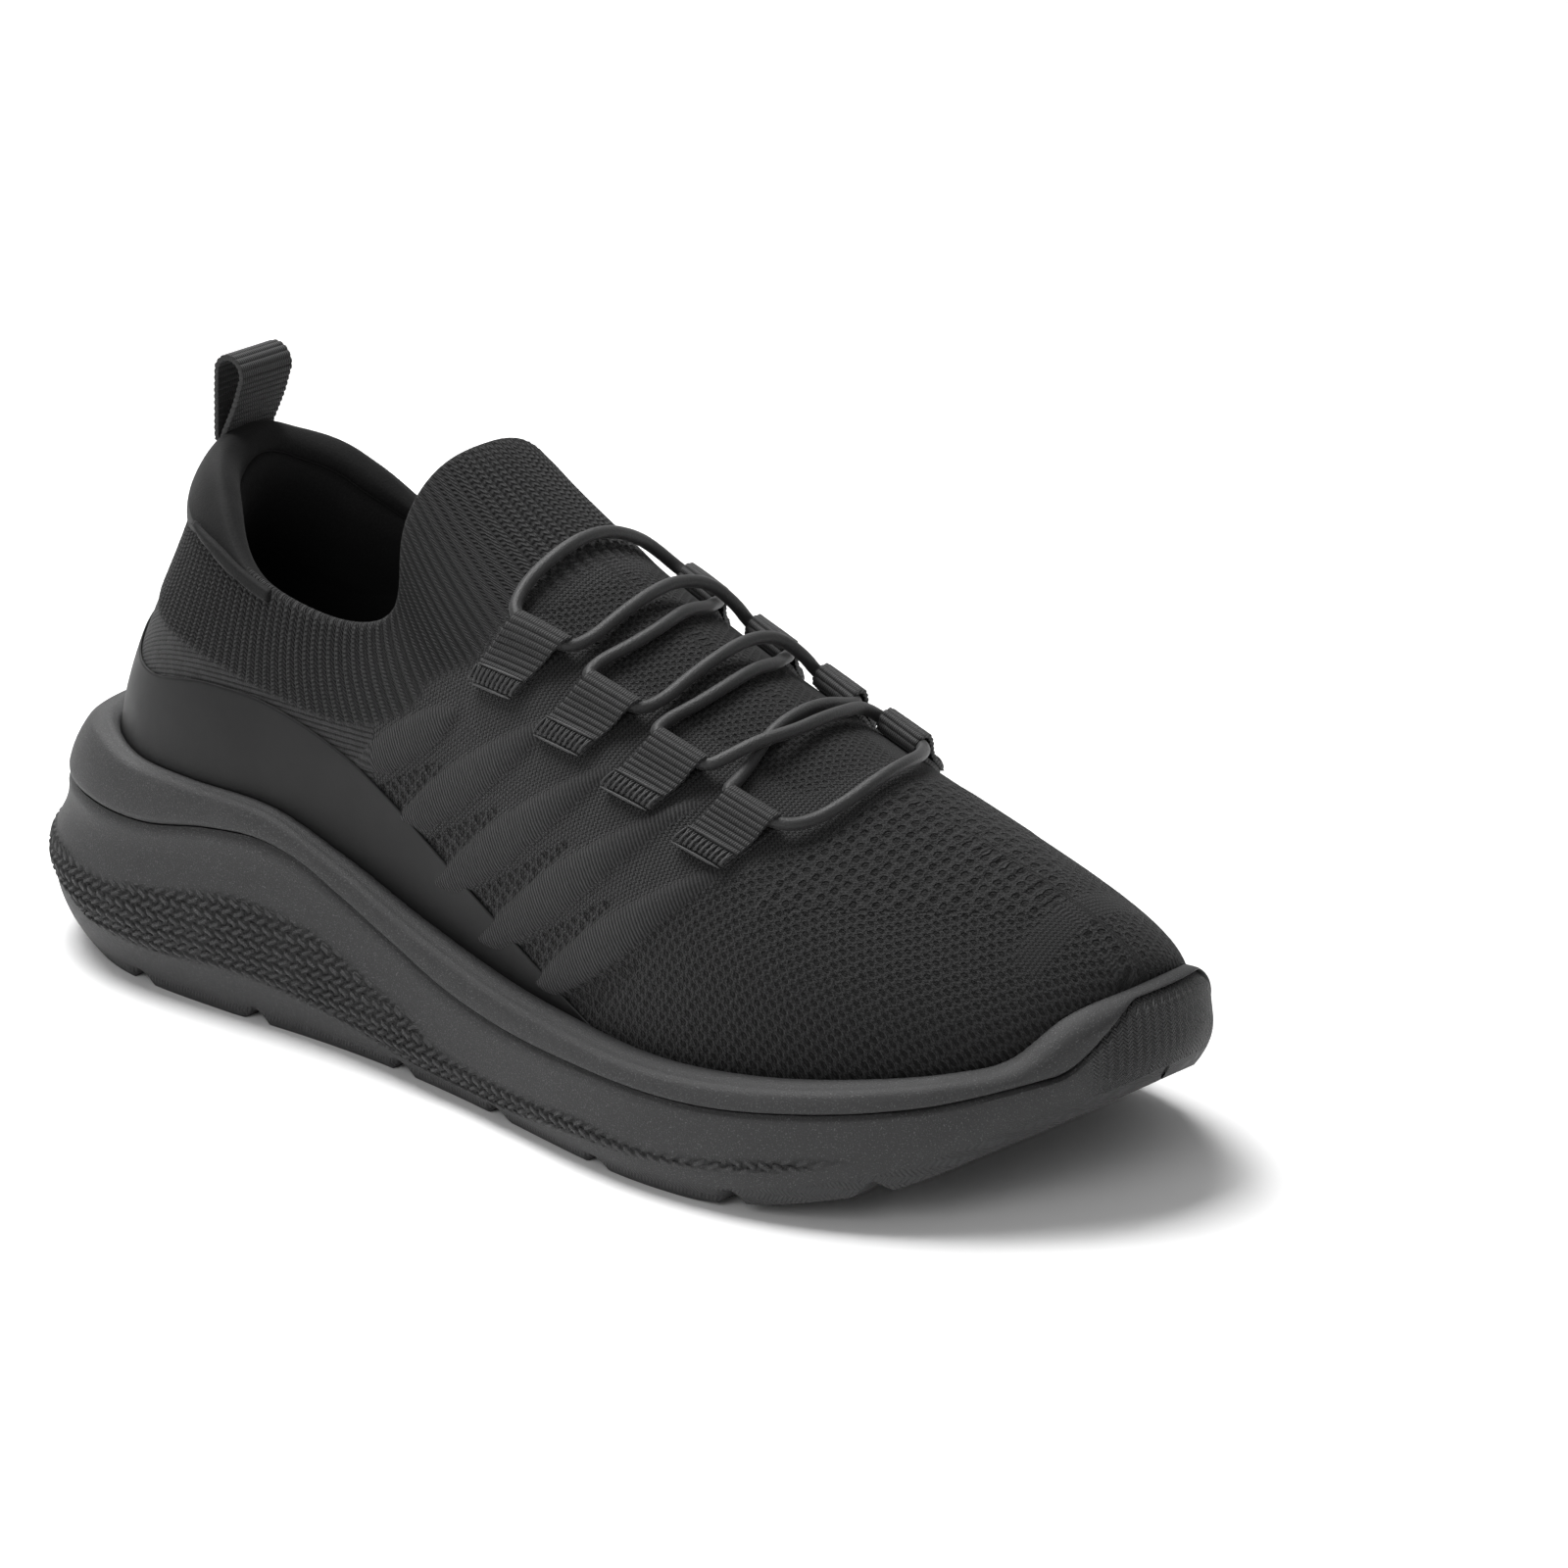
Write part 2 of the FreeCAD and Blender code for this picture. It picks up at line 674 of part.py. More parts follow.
def rounded_path(points, share=0.45):
    """Straight runs joined by tangent arcs, each arc as large as its two runs allow."""
    points = [Vector(*point) for point in points]
    edges = []
    radii = []
    here = points[0]
    for before, corner, after in zip(points, points[1:], points[2:]):
        arriving = (corner - before).normalize()
        leaving = (after - corner).normalize()
        reach = share * min((corner - before).Length, (after - corner).Length)
        turn = arriving.getAngle(leaving)
        first = corner - arriving * reach
        last = corner + leaving * reach
        to_centre = (leaving - arriving).normalize()
        radius = reach / math.tan(turn / 2)
        middle = corner + to_centre * (radius / math.cos(turn / 2) - radius)
        edges.append(Part.LineSegment(here, first).toShape())
        edges.append(Part.Arc(first, middle, last).toShape())
        radii.append(radius)
        here = last
    edges.append(Part.LineSegment(here, points[-1]).toShape())
    return Part.Wire(edges), radii


lace_path, lace_radii = rounded_path(LACE_ROUTE)
lace_radius = dim("elastic_diameter") / 2
lace_start = Vector(*LACE_ROUTE[0])
lace_heading = Vector(*LACE_ROUTE[1]) - lace_start
lace_section = Part.Wire(Part.makeCircle(lace_radius, lace_start, lace_heading))
lace = lace_path.makePipeShell([lace_section], True, True)
radius_list = " ".join("%.1f" % radius for radius in lace_radii)
print("elastic: length %.1f, radii %s" % (lace_path.Length, radius_list))
print("elastic: volume over section times length %.4f" % (
    lace.Volume / (math.pi * lace_radius ** 2 * lace_path.Length)))
keep(free_piece("elastic_lace", lace), "elastic_lace")

# ---------------------------------------------------------------- heel pull loop

# The ends of the webbing, sewn flat between the knit and the collar foam.
places = patch(HEEL - 0.33, HEEL + 0.33, 8, 0.74, 0.985, 6)
keep_layer("heel_pull_anchor", places, flat_depth(under_knit), flat_depth(under_knit + anchor))


def teardrop(base, lean, rise, radius, inset):
    """Edges of a teardrop in the side view, its point at the base and its round end at the top."""
    length = math.hypot(lean, rise)
    half_angle = math.asin(radius / length)
    axis = math.atan2(rise, lean)
    along = Vector(math.cos(axis), math.sin(axis), 0)
    point = base + along * (inset / math.sin(half_angle))
    centre = base + Vector(lean, rise, 0)
    inner = radius - inset
    left = axis + math.pi / 2 + half_angle
    right = axis - math.pi / 2 - half_angle
    start = centre + Vector(math.cos(left), math.sin(left), 0) * inner
    end = centre + Vector(math.cos(right), math.sin(right), 0) * inner
    circle = Part.Circle(centre, Vector(0, 0, 1), inner)
    arc = Part.ArcOfCircle(circle, right, left)
    return [Part.LineSegment(point, end), arc, Part.LineSegment(start, point)]


pull = doc.addObject("PartDesign::Body", "heel_pull_loop")
pull_sketch = new_sketch(pull, "heel_pull_side", "XZ_Plane")
pull_base = Vector(dim("pull_base_x"), dim("pull_base_z"), 0)
pull_lean = dim("pull_lean")
pull_rise = dim("pull_rise")
pull_radius = dim("pull_top_radius")
for inset in (0.0, dim("pull_thickness")):
    pull_sketch.addGeometry(teardrop(pull_base, pull_lean, pull_rise, pull_radius, inset))
pull_pad = pull.newObject("PartDesign::Pad", "heel_pull_width")
pull_pad.Profile = pull_sketch
pull_pad.Midplane = True
pull_pad.setExpression("Length", "Dimensions.pull_width")
keep(pull, "heel_pull_loop")

# ---------------------------------------------------------------- check and write

doc.recompute()
for item in doc.Objects:
    if "Invalid" in item.State or "Error" in item.State:
        raise RuntimeError("%s failed: %s" % (item.Name, item.State))
for item in made:
    shape = item.Shape
    if shape.isNull() or not shape.isValid():
        raise RuntimeError("%s has no valid shape" % item.Label)
    if shape.Volume <= 0:
        raise RuntimeError("%s has no volume" % item.Label)
    box = shape.optimalBoundingBox()
    print("%-22s %2d solids %9.1f mm3 x %.1f..%.1f y %.1f..%.1f z %.1f..%.1f" % (
        item.Label, len(shape.Solids), shape.Volume,
        box.XMin, box.XMax, box.YMin, box.YMax, box.ZMin, box.ZMax))
for item in made:
    item.Shape.exportStep("parts/%s.step" % item.Label)
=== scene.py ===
import math
import bpy
import numpy as np
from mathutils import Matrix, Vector


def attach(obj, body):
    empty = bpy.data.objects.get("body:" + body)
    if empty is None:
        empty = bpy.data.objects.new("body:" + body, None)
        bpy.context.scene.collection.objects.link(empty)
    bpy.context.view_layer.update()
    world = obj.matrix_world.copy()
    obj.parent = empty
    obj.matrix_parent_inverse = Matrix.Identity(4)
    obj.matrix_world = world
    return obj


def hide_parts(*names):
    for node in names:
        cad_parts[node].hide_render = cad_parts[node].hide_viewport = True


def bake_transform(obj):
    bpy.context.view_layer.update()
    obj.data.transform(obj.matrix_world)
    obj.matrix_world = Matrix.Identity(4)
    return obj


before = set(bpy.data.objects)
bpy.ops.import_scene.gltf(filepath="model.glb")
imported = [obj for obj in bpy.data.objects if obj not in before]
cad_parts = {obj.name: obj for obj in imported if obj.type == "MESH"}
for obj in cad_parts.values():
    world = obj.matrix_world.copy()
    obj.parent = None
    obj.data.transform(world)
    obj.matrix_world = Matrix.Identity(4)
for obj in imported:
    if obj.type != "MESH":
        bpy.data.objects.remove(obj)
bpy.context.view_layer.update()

MM = 0.001

# ------------------------------------------------------------------ knitted bootie
# The upper is one knitted bootie, pulled over a last: ribbed round the collar and up the tongue,
# close-knit at the eyestay, raised leaf-shaped ridges on the quarters with open mesh between them,
# and a pierced toe box. Each station is one meridian of the last, from the sole to the opening.

FEATHER = [
    (138, 10, 44), (128, -18, 33), (100, -39, 28), (62, -47, 25.5), (20, -41, 27), (-30, -35, 38),
    (-80, -36, 47), (-114, -27, 47), (-125, -1, 55), (-114, 24, 47), (-80, 31.5, 46), (-30, 31, 38),
    (20, 37, 28), (62, 46, 26), (102, 43, 28), (130, 34, 34),
]
OPENING = [
    (-31, 0, 126), (-32, -10, 124.5), (-33, -19, 119), (-32, -26, 109), (-30, -31, 97), (-46, -33, 92),
    (-75, -31, 98), (-95, -20, 109), (-103, 0, 115), (-95, 20, 107), (-75, 31, 93), (-46, 33, 88),
    (-30, 31, 95), (-32, 26, 108), (-33, 19, 119), (-32, 10, 124.5),
]
LEAVE = [
    (4, 20), (3, 26), (3, 31), (3, 30), (2, 26), (1, 22), (1, 20), (-1, 20), (-2, 20), (-1, 20),
    (1, 20), (1, 21), (2, 22), (3, 24), (3, 23.5), (4, 23),
]
ARRIVE = [
    (85, 0, -56), (75, -12, -57), (55, -16, -46), (28, -10, -30), (8, -6, -20), (-2, -4, -22),
    (-4, -3, -22), (-4, -4, -22), (-4, 0, -22), (-4, 4, -22), (-4, 3, -22), (-2, 4, -22),
    (6, 4, -26), (24, 8, -36), (48, 12, -48), (74, 12, -57),
]
GROOVE_LINE = [
    (-150, 38.5), (-112, 37.5), (-94, 38), (-76, 41), (-62, 42), (-50, 40), (-37, 35), (-21, 29),
    (-3, 23.6), (17, 21), (45, 20.8), (72, 21), (92, 22.5), (119, 26), (137, 31), (150, 35),
]
STATIONS = 16
HEEL = 8
KNIT = 1.8


def closed_line(values, at):
    """Smooth closed curve through the values, its parameter a whole number at each."""
    values = np.array(values, float)
    count = len(values)
    spread = 4 * np.eye(count) + np.roll(np.eye(count), 1, 1) + np.roll(np.eye(count), -1, 1)
    slope = np.linalg.solve(spread, 3 * (np.roll(values, -1, 0) - np.roll(values, 1, 0)))
    at = np.asarray(at, float) % count
    i = np.floor(at).astype(int) % count
    t = (at - np.floor(at))[..., None]
    j = (i + 1) % count
    return (values[i] * (1 - t) ** 2 * (1 + 2 * t) + values[j] * t * t * (3 - 2 * t)
            + slope[i] * t * (1 - t) ** 2 - slope[j] * t * t * (1 - t))


def side_line(line, x):
    """Height of a side line at x."""
    xs, zs = np.array(line, float).T
    slope = np.gradient(zs)
    slope[1:-1] = (zs[2:] - zs[:-2]) / (xs[2:] - xs[:-2])
    slope[0] = (zs[1] - zs[0]) / (xs[1] - xs[0])
    slope[-1] = (zs[-1] - zs[-2]) / (xs[-1] - xs[-2])
    i = np.clip(np.searchsorted(xs, x), 1, len(xs) - 2)
    span = xs[i] - xs[i - 1]
    s = (x - xs[i - 1]) / span
    return (zs[i - 1] * (1 - s) ** 2 * (1 + 2 * s) + slope[i - 1] * span * s * (1 - s) ** 2
            + zs[i] * s * s * (3 - 2 * s) - slope[i] * span * s * s * (1 - s))


def last_point(station, level):
    """Outer face of the upper: level 0 at the sole, 1 at the opening's edge, below 0 inside the rim."""
    station, level = np.broadcast_arrays(np.asarray(station, float), np.asarray(level, float))
    low = closed_line(FEATHER, station)
    along = closed_line(FEATHER, station + 0.001) - closed_line(FEATHER, station - 0.001)
    out = np.stack([along[..., 1], -along[..., 0]], -1)
    out /= np.linalg.norm(out, axis=-1, keepdims=True)
    out *= np.sign((low[..., :2] * out).sum(-1, keepdims=True))
    leave = closed_line(LEAVE, station)
    first = low + np.concatenate([out * leave[..., :1], leave[..., 1:]], -1)
    top = closed_line(OPENING, station)
    second = top + closed_line(ARRIVE, station)
    t = np.maximum(level, 0)[..., None]
    place = (low * (1 - t) ** 3 + 3 * first * t * (1 - t) ** 2 + 3 * second * t * t * (1 - t)
             + top * t ** 3)
    drop = low[..., 2] - side_line(GROOVE_LINE, low[..., 0]) - 0.3
    place[..., 2] += np.where(level < 0, drop * level, 0)
    return place


def last_frame(station, level):
    """Outward normal of the upper, and its direction towards the opening."""
    low = np.maximum(np.asarray(level) - 0.02, np.where(np.asarray(level) < 0, -1, 0))
    high = np.minimum(low + 0.04, 1)
    low = np.minimum(low, high - 0.02)
    along = last_point(station + 0.02, level) - last_point(station - 0.02, level)
    up = last_point(station, high) - last_point(station, low)
    normal = np.cross(up, along)
    normal /= np.linalg.norm(normal, axis=-1, keepdims=True)
    up /= np.linalg.norm(up, axis=-1, keepdims=True)
    return normal, up


def over_last(station, level, proud=0.0, rise=0.0):
    """Place standing proud of the upper's outer face, and raised past its edge."""
    normal, up = last_frame(station, level)
    return (last_point(station, level) + normal * np.asarray(proud)[..., None]
            + up * np.asarray(rise)[..., None])


def points(piece):
    places = np.empty(len(piece.data.vertices) * 3)
    piece.data.vertices.foreach_get("co", places)
    return places.reshape(-1, 3)


def put_points(piece, places):
    """Moves a piece's points to places given in millimetres."""
    piece.data.vertices.foreach_set("co", (np.asarray(places) * MM).astype(np.float32).ravel())
    piece.data.update()


def grid(name, columns, rows):
    """Flat grid of cloth, with each point's share of the way across and up."""
    bpy.ops.object.select_all(action="DESELECT")
    bpy.ops.mesh.primitive_grid_add(x_subdivisions=columns, y_subdivisions=rows, size=1)
    piece = bpy.context.object
    piece.name = piece.data.name = name
    flat = points(piece)
    return piece, flat[:, 0] + 0.5, flat[:, 1] + 0.5


def keep_map(piece, name, across, up):
    """Stores each point's place on the cloth, in millimetres, as a UV map."""
    layer = piece.data.uv_layers.get(name) or piece.data.uv_layers.new(name=name)
    corner = np.empty(len(piece.data.loops), int)
    piece.data.loops.foreach_get("vertex_index", corner)
    layer.data.foreach_set("uv", np.stack([across[corner], up[corner]], -1).astype(np.float32).ravel())


def keep_share(piece, name, share):
    """Stores how much of a finish each point has."""
    made = piece.data.attributes.new(name, "FLOAT", "POINT")
    made.data.foreach_set("value", np.asarray(share, np.float32))


def pick(piece):
    bpy.ops.object.select_all(action="DESELECT")
    piece.select_set(True)
    bpy.context.view_layer.objects.active = piece


def close_seams(piece):
    """Joins the points that meet where a piece closes on itself."""
    pick(piece)
    bpy.ops.object.mode_set(mode="EDIT")
    bpy.ops.mesh.select_all(action="SELECT")
    bpy.ops.mesh.remove_doubles(threshold=0.02 * MM)
    bpy.ops.object.mode_set(mode="OBJECT")


def smooth(piece):
    pick(piece)
    bpy.ops.object.shade_smooth()


def apply_modifier(piece, kind, **settings):
    pick(piece)
    modifier = piece.modifiers.new(kind.title(), kind)
    for setting, value in settings.items():
        setattr(modifier, setting, value)
    bpy.ops.object.modifier_apply(modifier=modifier.name)


def ease(value, start, end):
    """0 before start, 1 after end, smooth between."""
    t = np.clip((value - start) / (end - start), 0, 1)
    return t * t * (3 - 2 * t)


class Shade:
    """A value in a finish, so that its maths reads as plain expressions."""

    def __init__(self, tree, socket=None):
        self.tree = tree
        self.socket = socket

    def node(self, kind, values=None, out=0, **settings):
        made = self.tree.nodes.new(kind)
        for setting, value in settings.items():
            setattr(made, setting, value)
        for name, value in (values or {}).items():
            if isinstance(value, Shade):
                self.tree.links.new(value.socket, made.inputs[name])
            else:
                made.inputs[name].default_value = value
        return Shade(self.tree, made.outputs[out])

    def math(self, operation, *values):
        return self.node("ShaderNodeMath", dict(enumerate(values)), operation=operation)

    def __add__(self, other):
        return self.math("ADD", self, other)

    def __sub__(self, other):
        return self.math("SUBTRACT", self, other)

    def __rsub__(self, other):
        return self.math("SUBTRACT", other, self)

    def __mul__(self, other):
        return self.math("MULTIPLY", self, other)

    def __truediv__(self, other):
        return self.math("DIVIDE", self, other)

    __radd__ = __add__
    __rmul__ = __mul__

    def wave(self, pitch):
        """Cosine of the place, once each pitch, from -1 to 1."""
        return self.math("COSINE", self * (2 * math.pi / pitch))

    def part(self):
        return self.math("FRACT", self)

    def away(self):
        return self.math("ABSOLUTE", self)

    def whole(self):
        return self.math("FLOOR", self)

    def root(self):
        return self.math("SQRT", self)

    def most(self, other):
        return self.math("MAXIMUM", self, other)

    def zigzag(self, half):
        """Rises and falls evenly between 0 and half."""
        return self.math("PINGPONG", self, half)

    def between(self, low, high):
        """0 at low, 1 at high, smooth between."""
        return self.node("ShaderNodeMapRange", {"Value": self, "From Min": low, "From Max": high},
                         interpolation_type="SMOOTHSTEP")

    def mix(self, first, second):
        """Colour first where the share is 0, second where it is 1."""
        return self.node("ShaderNodeMix", {0: self, 6: first, 7: second}, out=2, data_type="RGBA")

    def noise(self, size, detail=3.0, place=None):
        """Even cloudy variation, with features of a size in millimetres."""
        place = place or self.node("ShaderNodeTexCoord", out=3)
        return self.node("ShaderNodeTexNoise",
                         {"Vector": place, "Scale": 1 / (size * MM), "Detail": detail})


def grey(value, warm=0.0):
    return (value + warm, value, value + 0.02 * value, 1)


def finish(name, colour, roughness, sheen=0.0, coat=0.0, specular=0.5):
    """New finish with its constants set, ready for its pattern."""
    stuff = bpy.data.materials.new(name)
    stuff.use_nodes = True
    skin = stuff.node_tree.nodes["Principled BSDF"]
    skin.inputs["Base Color"].default_value = colour
    skin.inputs["Roughness"].default_value = roughness
    skin.inputs["Sheen Weight"].default_value = sheen
    skin.inputs["Sheen Roughness"].default_value = 0.5
    skin.inputs["Coat Weight"].default_value = coat
    skin.inputs["Specular IOR Level"].default_value = specular
    return stuff, skin, Shade(stuff.node_tree)


def lay(skin, shade, socket, value):
    shade.tree.links.new(value.socket, skin.inputs[socket])


def emboss(skin, shade, height, strength=1.0):
    """Relief from a height in millimetres."""
    bump = shade.node("ShaderNodeBump", {"Height": height, "Distance": MM, "Strength": strength})
    lay(skin, shade, "Normal", bump)


def dress(piece, stuff):
    piece.data.materials.clear()
    piece.data.materials.append(stuff)


# The ribs are spaced evenly along the collar edge, four columns of points to a rib.
fine = np.linspace(HEEL, HEEL + STATIONS, 3201)
edge = last_point(fine, 1.0)
edge_length = np.r_[0, np.cumsum(np.linalg.norm(np.diff(edge, axis=0), axis=1))]
RIBS = 136
COLUMNS = 4 * RIBS
OUTER_ROWS, EDGE_ROWS, INNER_ROWS = 138, 5, 24
rib_pitch = edge_length[-1] / RIBS
levels = [-1, -0.5] + list(np.linspace(0, 1, OUTER_ROWS - 2))
prouds = [0.0] * len(levels)
rises = [0.0] * len(levels)
for step in range(1, EDGE_ROWS + 1):
    turn = math.pi * step / (EDGE_ROWS + 1)
    levels.append(1.0)
    prouds.append(-KNIT / 2 * (1 - math.cos(turn)))
    rises.append(KNIT / 2 * math.sin(turn))
inner = list(np.linspace(1, 0, INNER_ROWS - 2)) + [-0.5, -1]
levels += inner + [-1]
prouds += [-KNIT] * len(inner) + [0.0]
rises += [0.0] * (len(inner) + 1)
levels, prouds, rises = np.array(levels), np.array(prouds), np.array(rises)
ROWS = len(levels) - 1

bootie, across, up = grid("knit_bootie", COLUMNS, ROWS)
column = np.rint((1 - across) * COLUMNS).astype(int)
row = np.rint(up * ROWS).astype(int)
station = np.interp(column * rib_pitch / 4, edge_length, fine)
level = levels[row]
bare = last_point(station, level)
x, y, z = bare.T
turned = np.minimum(station % STATIONS, STATIONS - station % STATIONS)

# Where each kind of knitting lies.
rib_end = np.interp(turned, [0, 1.3, 2, 2.75, 3.75, 4.4, 5, 6.5, 8],
                    [0.875, 0.865, 0.83, 0.78, 0.78, 0.70, 0.63, 0.57, 0.48])
ribbed = ease(level, rib_end - 0.02, rib_end + 0.025)
lean = x - 1.2 * z
side = ease(np.abs(y), 24, 30) * ease(level, 0.0, 0.03)
toe_share = ease(lean, -12, -3) * (1 - ease(level, 0.86, 0.9))
patch_half = 39 - 0.8 * (x - 79)
patch = (ease(patch_half - np.abs(y - 3), 0, 2.5) * ease(x + 0.12 * np.abs(y - 3), 78, 81)
         * (1 - ease(x, 118, 121)) * ease(z, 40, 46))
plain_tip = ease(x, 119, 122) * (1 - ease(x, 126, 129)) * (1 - ease(np.abs(y - 7), 16, 22))
tongue = (ease(20.5 - 0.09 * x - np.abs(y), 0, 2.5) * ease(level, 0.565, 0.59)
          * (1 - ease(level, rib_end - 0.03, rib_end - 0.01)))
ridge = np.zeros(len(x))
window = np.zeros(len(x))
for centre, low, high in ((-108, 66, 84), (-85, 56, 86), (-61, 44, 80), (-37, 35, 76), (-13, 30, 66)):
    along = np.clip((z - low) / (high - low), 0, 1)
    half = 7.5 * np.sin(math.pi * (0.25 + 0.72 * along)) ** 0.8
    shape = np.clip(1 - ((lean - centre) / half) ** 2, 0, 1) ** 0.5
    ridge = np.maximum(ridge, shape * ease(z, low - 4, low) * (1 - ease(z, high - 5, high)))
for centre, low, high in ((-97, 57, 72), (-73, 46, 67), (-49, 37, 66), (-25, 31, 57), (-3, 29, 46)):
    along = np.clip((z - low) / (high - low), 0, 1)
    half = 6.5 * (1 - along) + 0.8
    window = np.maximum(window, ease(half - np.abs(lean - centre - 2.5 * along), -0.8, 0.8)
                        * (1 - ease(z, high - 4, high)))
ridge *= side * (1 - ribbed)
window *= side * (1 - ribbed) * (1 - 0.8 * ridge)
toe_share = np.clip(toe_share - tongue, 0, 1) * (1 - patch) * (1 - ease(ridge, 0.1, 0.4))

outside = ((row < OUTER_ROWS) & (level >= 0)).astype(float)
rib_wave = np.array([1.0, 0.0, -1.0, 0.0])[column % 4]
relief = 0.48 * rib_wave * ribbed + 0.95 * ridge + 0.15 * patch - 0.25 * window
relief *= outside * ease(level, 0.0, 0.05) * (1 - 0.6 * ease(level, 0.975, 1.0))
put_points(bootie, over_last(station, level, prouds[row] + relief, rises[row]))

# Cloth maps: one measured from the centre line over the vamp, one along the ribs.
crown = last_point(0.0, np.linspace(0, 1, 400))
crown = crown[::-1]
crown_length = np.r_[0, np.cumsum(np.linalg.norm(np.diff(crown, axis=0), axis=1))]
forward = np.interp(x, crown[:, 0], crown_length)
crown_height = np.interp(x, crown[:, 0], crown[:, 2])
sideways = np.where(station % STATIONS < HEEL, -1, 1) * (np.abs(y - 3) + np.maximum(crown_height - z, 0))
meridian = np.linspace(0, 1, 60)
lengths = last_point(np.linspace(HEEL, HEEL + STATIONS, 161)[:, None], meridian[None, :])
lengths = np.linalg.norm(np.diff(lengths, axis=1), axis=2).sum(1)
meridian_length = np.interp(station, np.linspace(HEEL, HEEL + STATIONS, 161), lengths)
keep_map(bootie, "vamp", forward, sideways)
keep_map(bootie, "rib", column * rib_pitch / 4, level * meridian_length)
for name, share in (("ribbed", ribbed), ("ridge", ridge), ("window", window), ("pierced", toe_share),
                    ("patch", patch), ("tongue", tongue), ("tip", plain_tip)):
    keep_share(bootie, name, share)
close_seams(bootie)
smooth(bootie)

knit_finish, knit_skin, knit = finish("black_knit", grey(0.024), 0.82, sheen=0.06, specular=0.25)
vamp = knit.node("ShaderNodeSeparateXYZ", {0: knit.node("ShaderNodeUVMap", uv_map="vamp")})
vamp_y = Shade(knit.tree, vamp.socket.node.outputs[1])
ribs = knit.node("ShaderNodeSeparateXYZ", {0: knit.node("ShaderNodeUVMap", uv_map="rib")})
ribs_y = Shade(knit.tree, ribs.socket.node.outputs[1])


def share_of(shade, name):
    return shade.node("ShaderNodeAttribute", out=2, attribute_name=name)


def stitches(along, sideways, course, wale):
    """Rows of V-shaped knitted loops, 0 to 1."""
    limb = ((sideways / wale).part() - 0.5).away()
    loop = (along / course + limb * 1.1).wave(1.0) * 0.5 + 0.5
    return loop * (1 - (limb - 0.25).away() * 2.4)


def eyelets(along, sideways, pitch, radius, stretch=1.0):
    """Staggered knitted holes, 1 inside a hole."""
    line = sideways / pitch
    shift = (line.whole() * 0.5).part()
    over = ((along / (pitch * stretch) + shift).part() - 0.5) * pitch
    off = (line.part() - 0.5) * pitch
    reach = (over * over + off * off).root()
    return 1 - reach.between(radius * 0.8, radius * 1.2)


ribbed_share = share_of(knit, "ribbed")
ridge_share = share_of(knit, "ridge")
wobble = (knit.noise(2.5) - 0.5) * 0.35
vamp_x, vamp_y = vamp + wobble, vamp_y + wobble
fine_loops = stitches(vamp_x, vamp_y, 1.0, 1.25)
rib_loops = stitches(ribs_y, ribs, 0.95, rib_pitch / 2)
ridge_run = vamp_x * 0.75 - vamp_y.away() * 0.62
ridge_lines = (ridge_run + (knit.noise(1.5) - 0.5) * 0.25).wave(1.1) * 0.5 + 0.5
toe_holes = eyelets(vamp_x, vamp_y, 2.4, 0.80) * share_of(knit, "pierced") * (1 - share_of(knit, "tip"))
tongue_holes = eyelets(vamp_x, vamp_y, 1.9, 0.62) * share_of(knit, "tongue")
open_holes = eyelets(vamp_x, vamp_y, 3.0, 1.15) * share_of(knit, "window").between(0.35, 0.65)
zigzag = vamp_x + (vamp_y / 2.4).zigzag(0.5) * 2.2
patch_share = share_of(knit, "patch").between(0.3, 0.7)
patch_holes = eyelets(vamp_x, vamp_y * 0.62, 2.5, 0.80) * patch_share
patch_rows = (zigzag.wave(4.4) * 0.5 + 0.5) * patch_share
holes = toe_holes.most(tongue_holes).most(open_holes).most(patch_holes)
loops = fine_loops * (1 - ribbed_share) + rib_loops * ribbed_share
ridge_top = ridge_share.between(0.1, 0.5)
loops = loops * (1 - ridge_top) + ridge_lines * ridge_top * 0.55
open_work = share_of(knit, "pierced").most(share_of(knit, "tongue")).most(patch_share)
loops = loops * (1 - open_work * 0.55)
height = loops * 0.5 - holes * 0.9 + patch_rows * 0.4 + knit.noise(0.4) * 0.3
emboss(knit_skin, knit, height)
# Painted shade: the knit's colour darkens in the troughs between the collar ribs.
rib_trough_shade = 1 - (0.5 - ribs.wave(rib_pitch) * 0.5) * ribbed_share * 0.85
# Painted highlight and shade: the knit is lighter on the raised loop tops and ridges, darker between them.
painted_stitch_light = (loops * rib_trough_shade).mix(grey(0.006), grey(0.058))
# Painted shade: the knitted holes are coloured almost black, shade standing in for the depth of each
# opening.
lay(knit_skin, knit, "Base Color", holes.mix(painted_stitch_light, grey(0.0015)))
dress(bootie, knit_finish)
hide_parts("knit_upper_rear", "vamp_flex", "knit_toe")

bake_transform(bootie)

# ------------------------------------------------------------------ heel counter and toe puff
# Thin moulded sheets between the knit and the lining, one cupping the heel and one holding the
# toe box open. They are hidden in the finished shoe.

board_finish, board_skin, board = finish("moulded_sheet", grey(0.22), 0.6)
emboss(board_skin, board, board.noise(1.2) * 0.15)
for node in ("heel_counter", "toe_puff"):
    dress(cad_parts[node], board_finish)

# ------------------------------------------------------------------ heel film overlay
# Smooth plastic film, cut from sheet and welded on the knit round the heel. It tapers forwards
# along the rim on both sides.

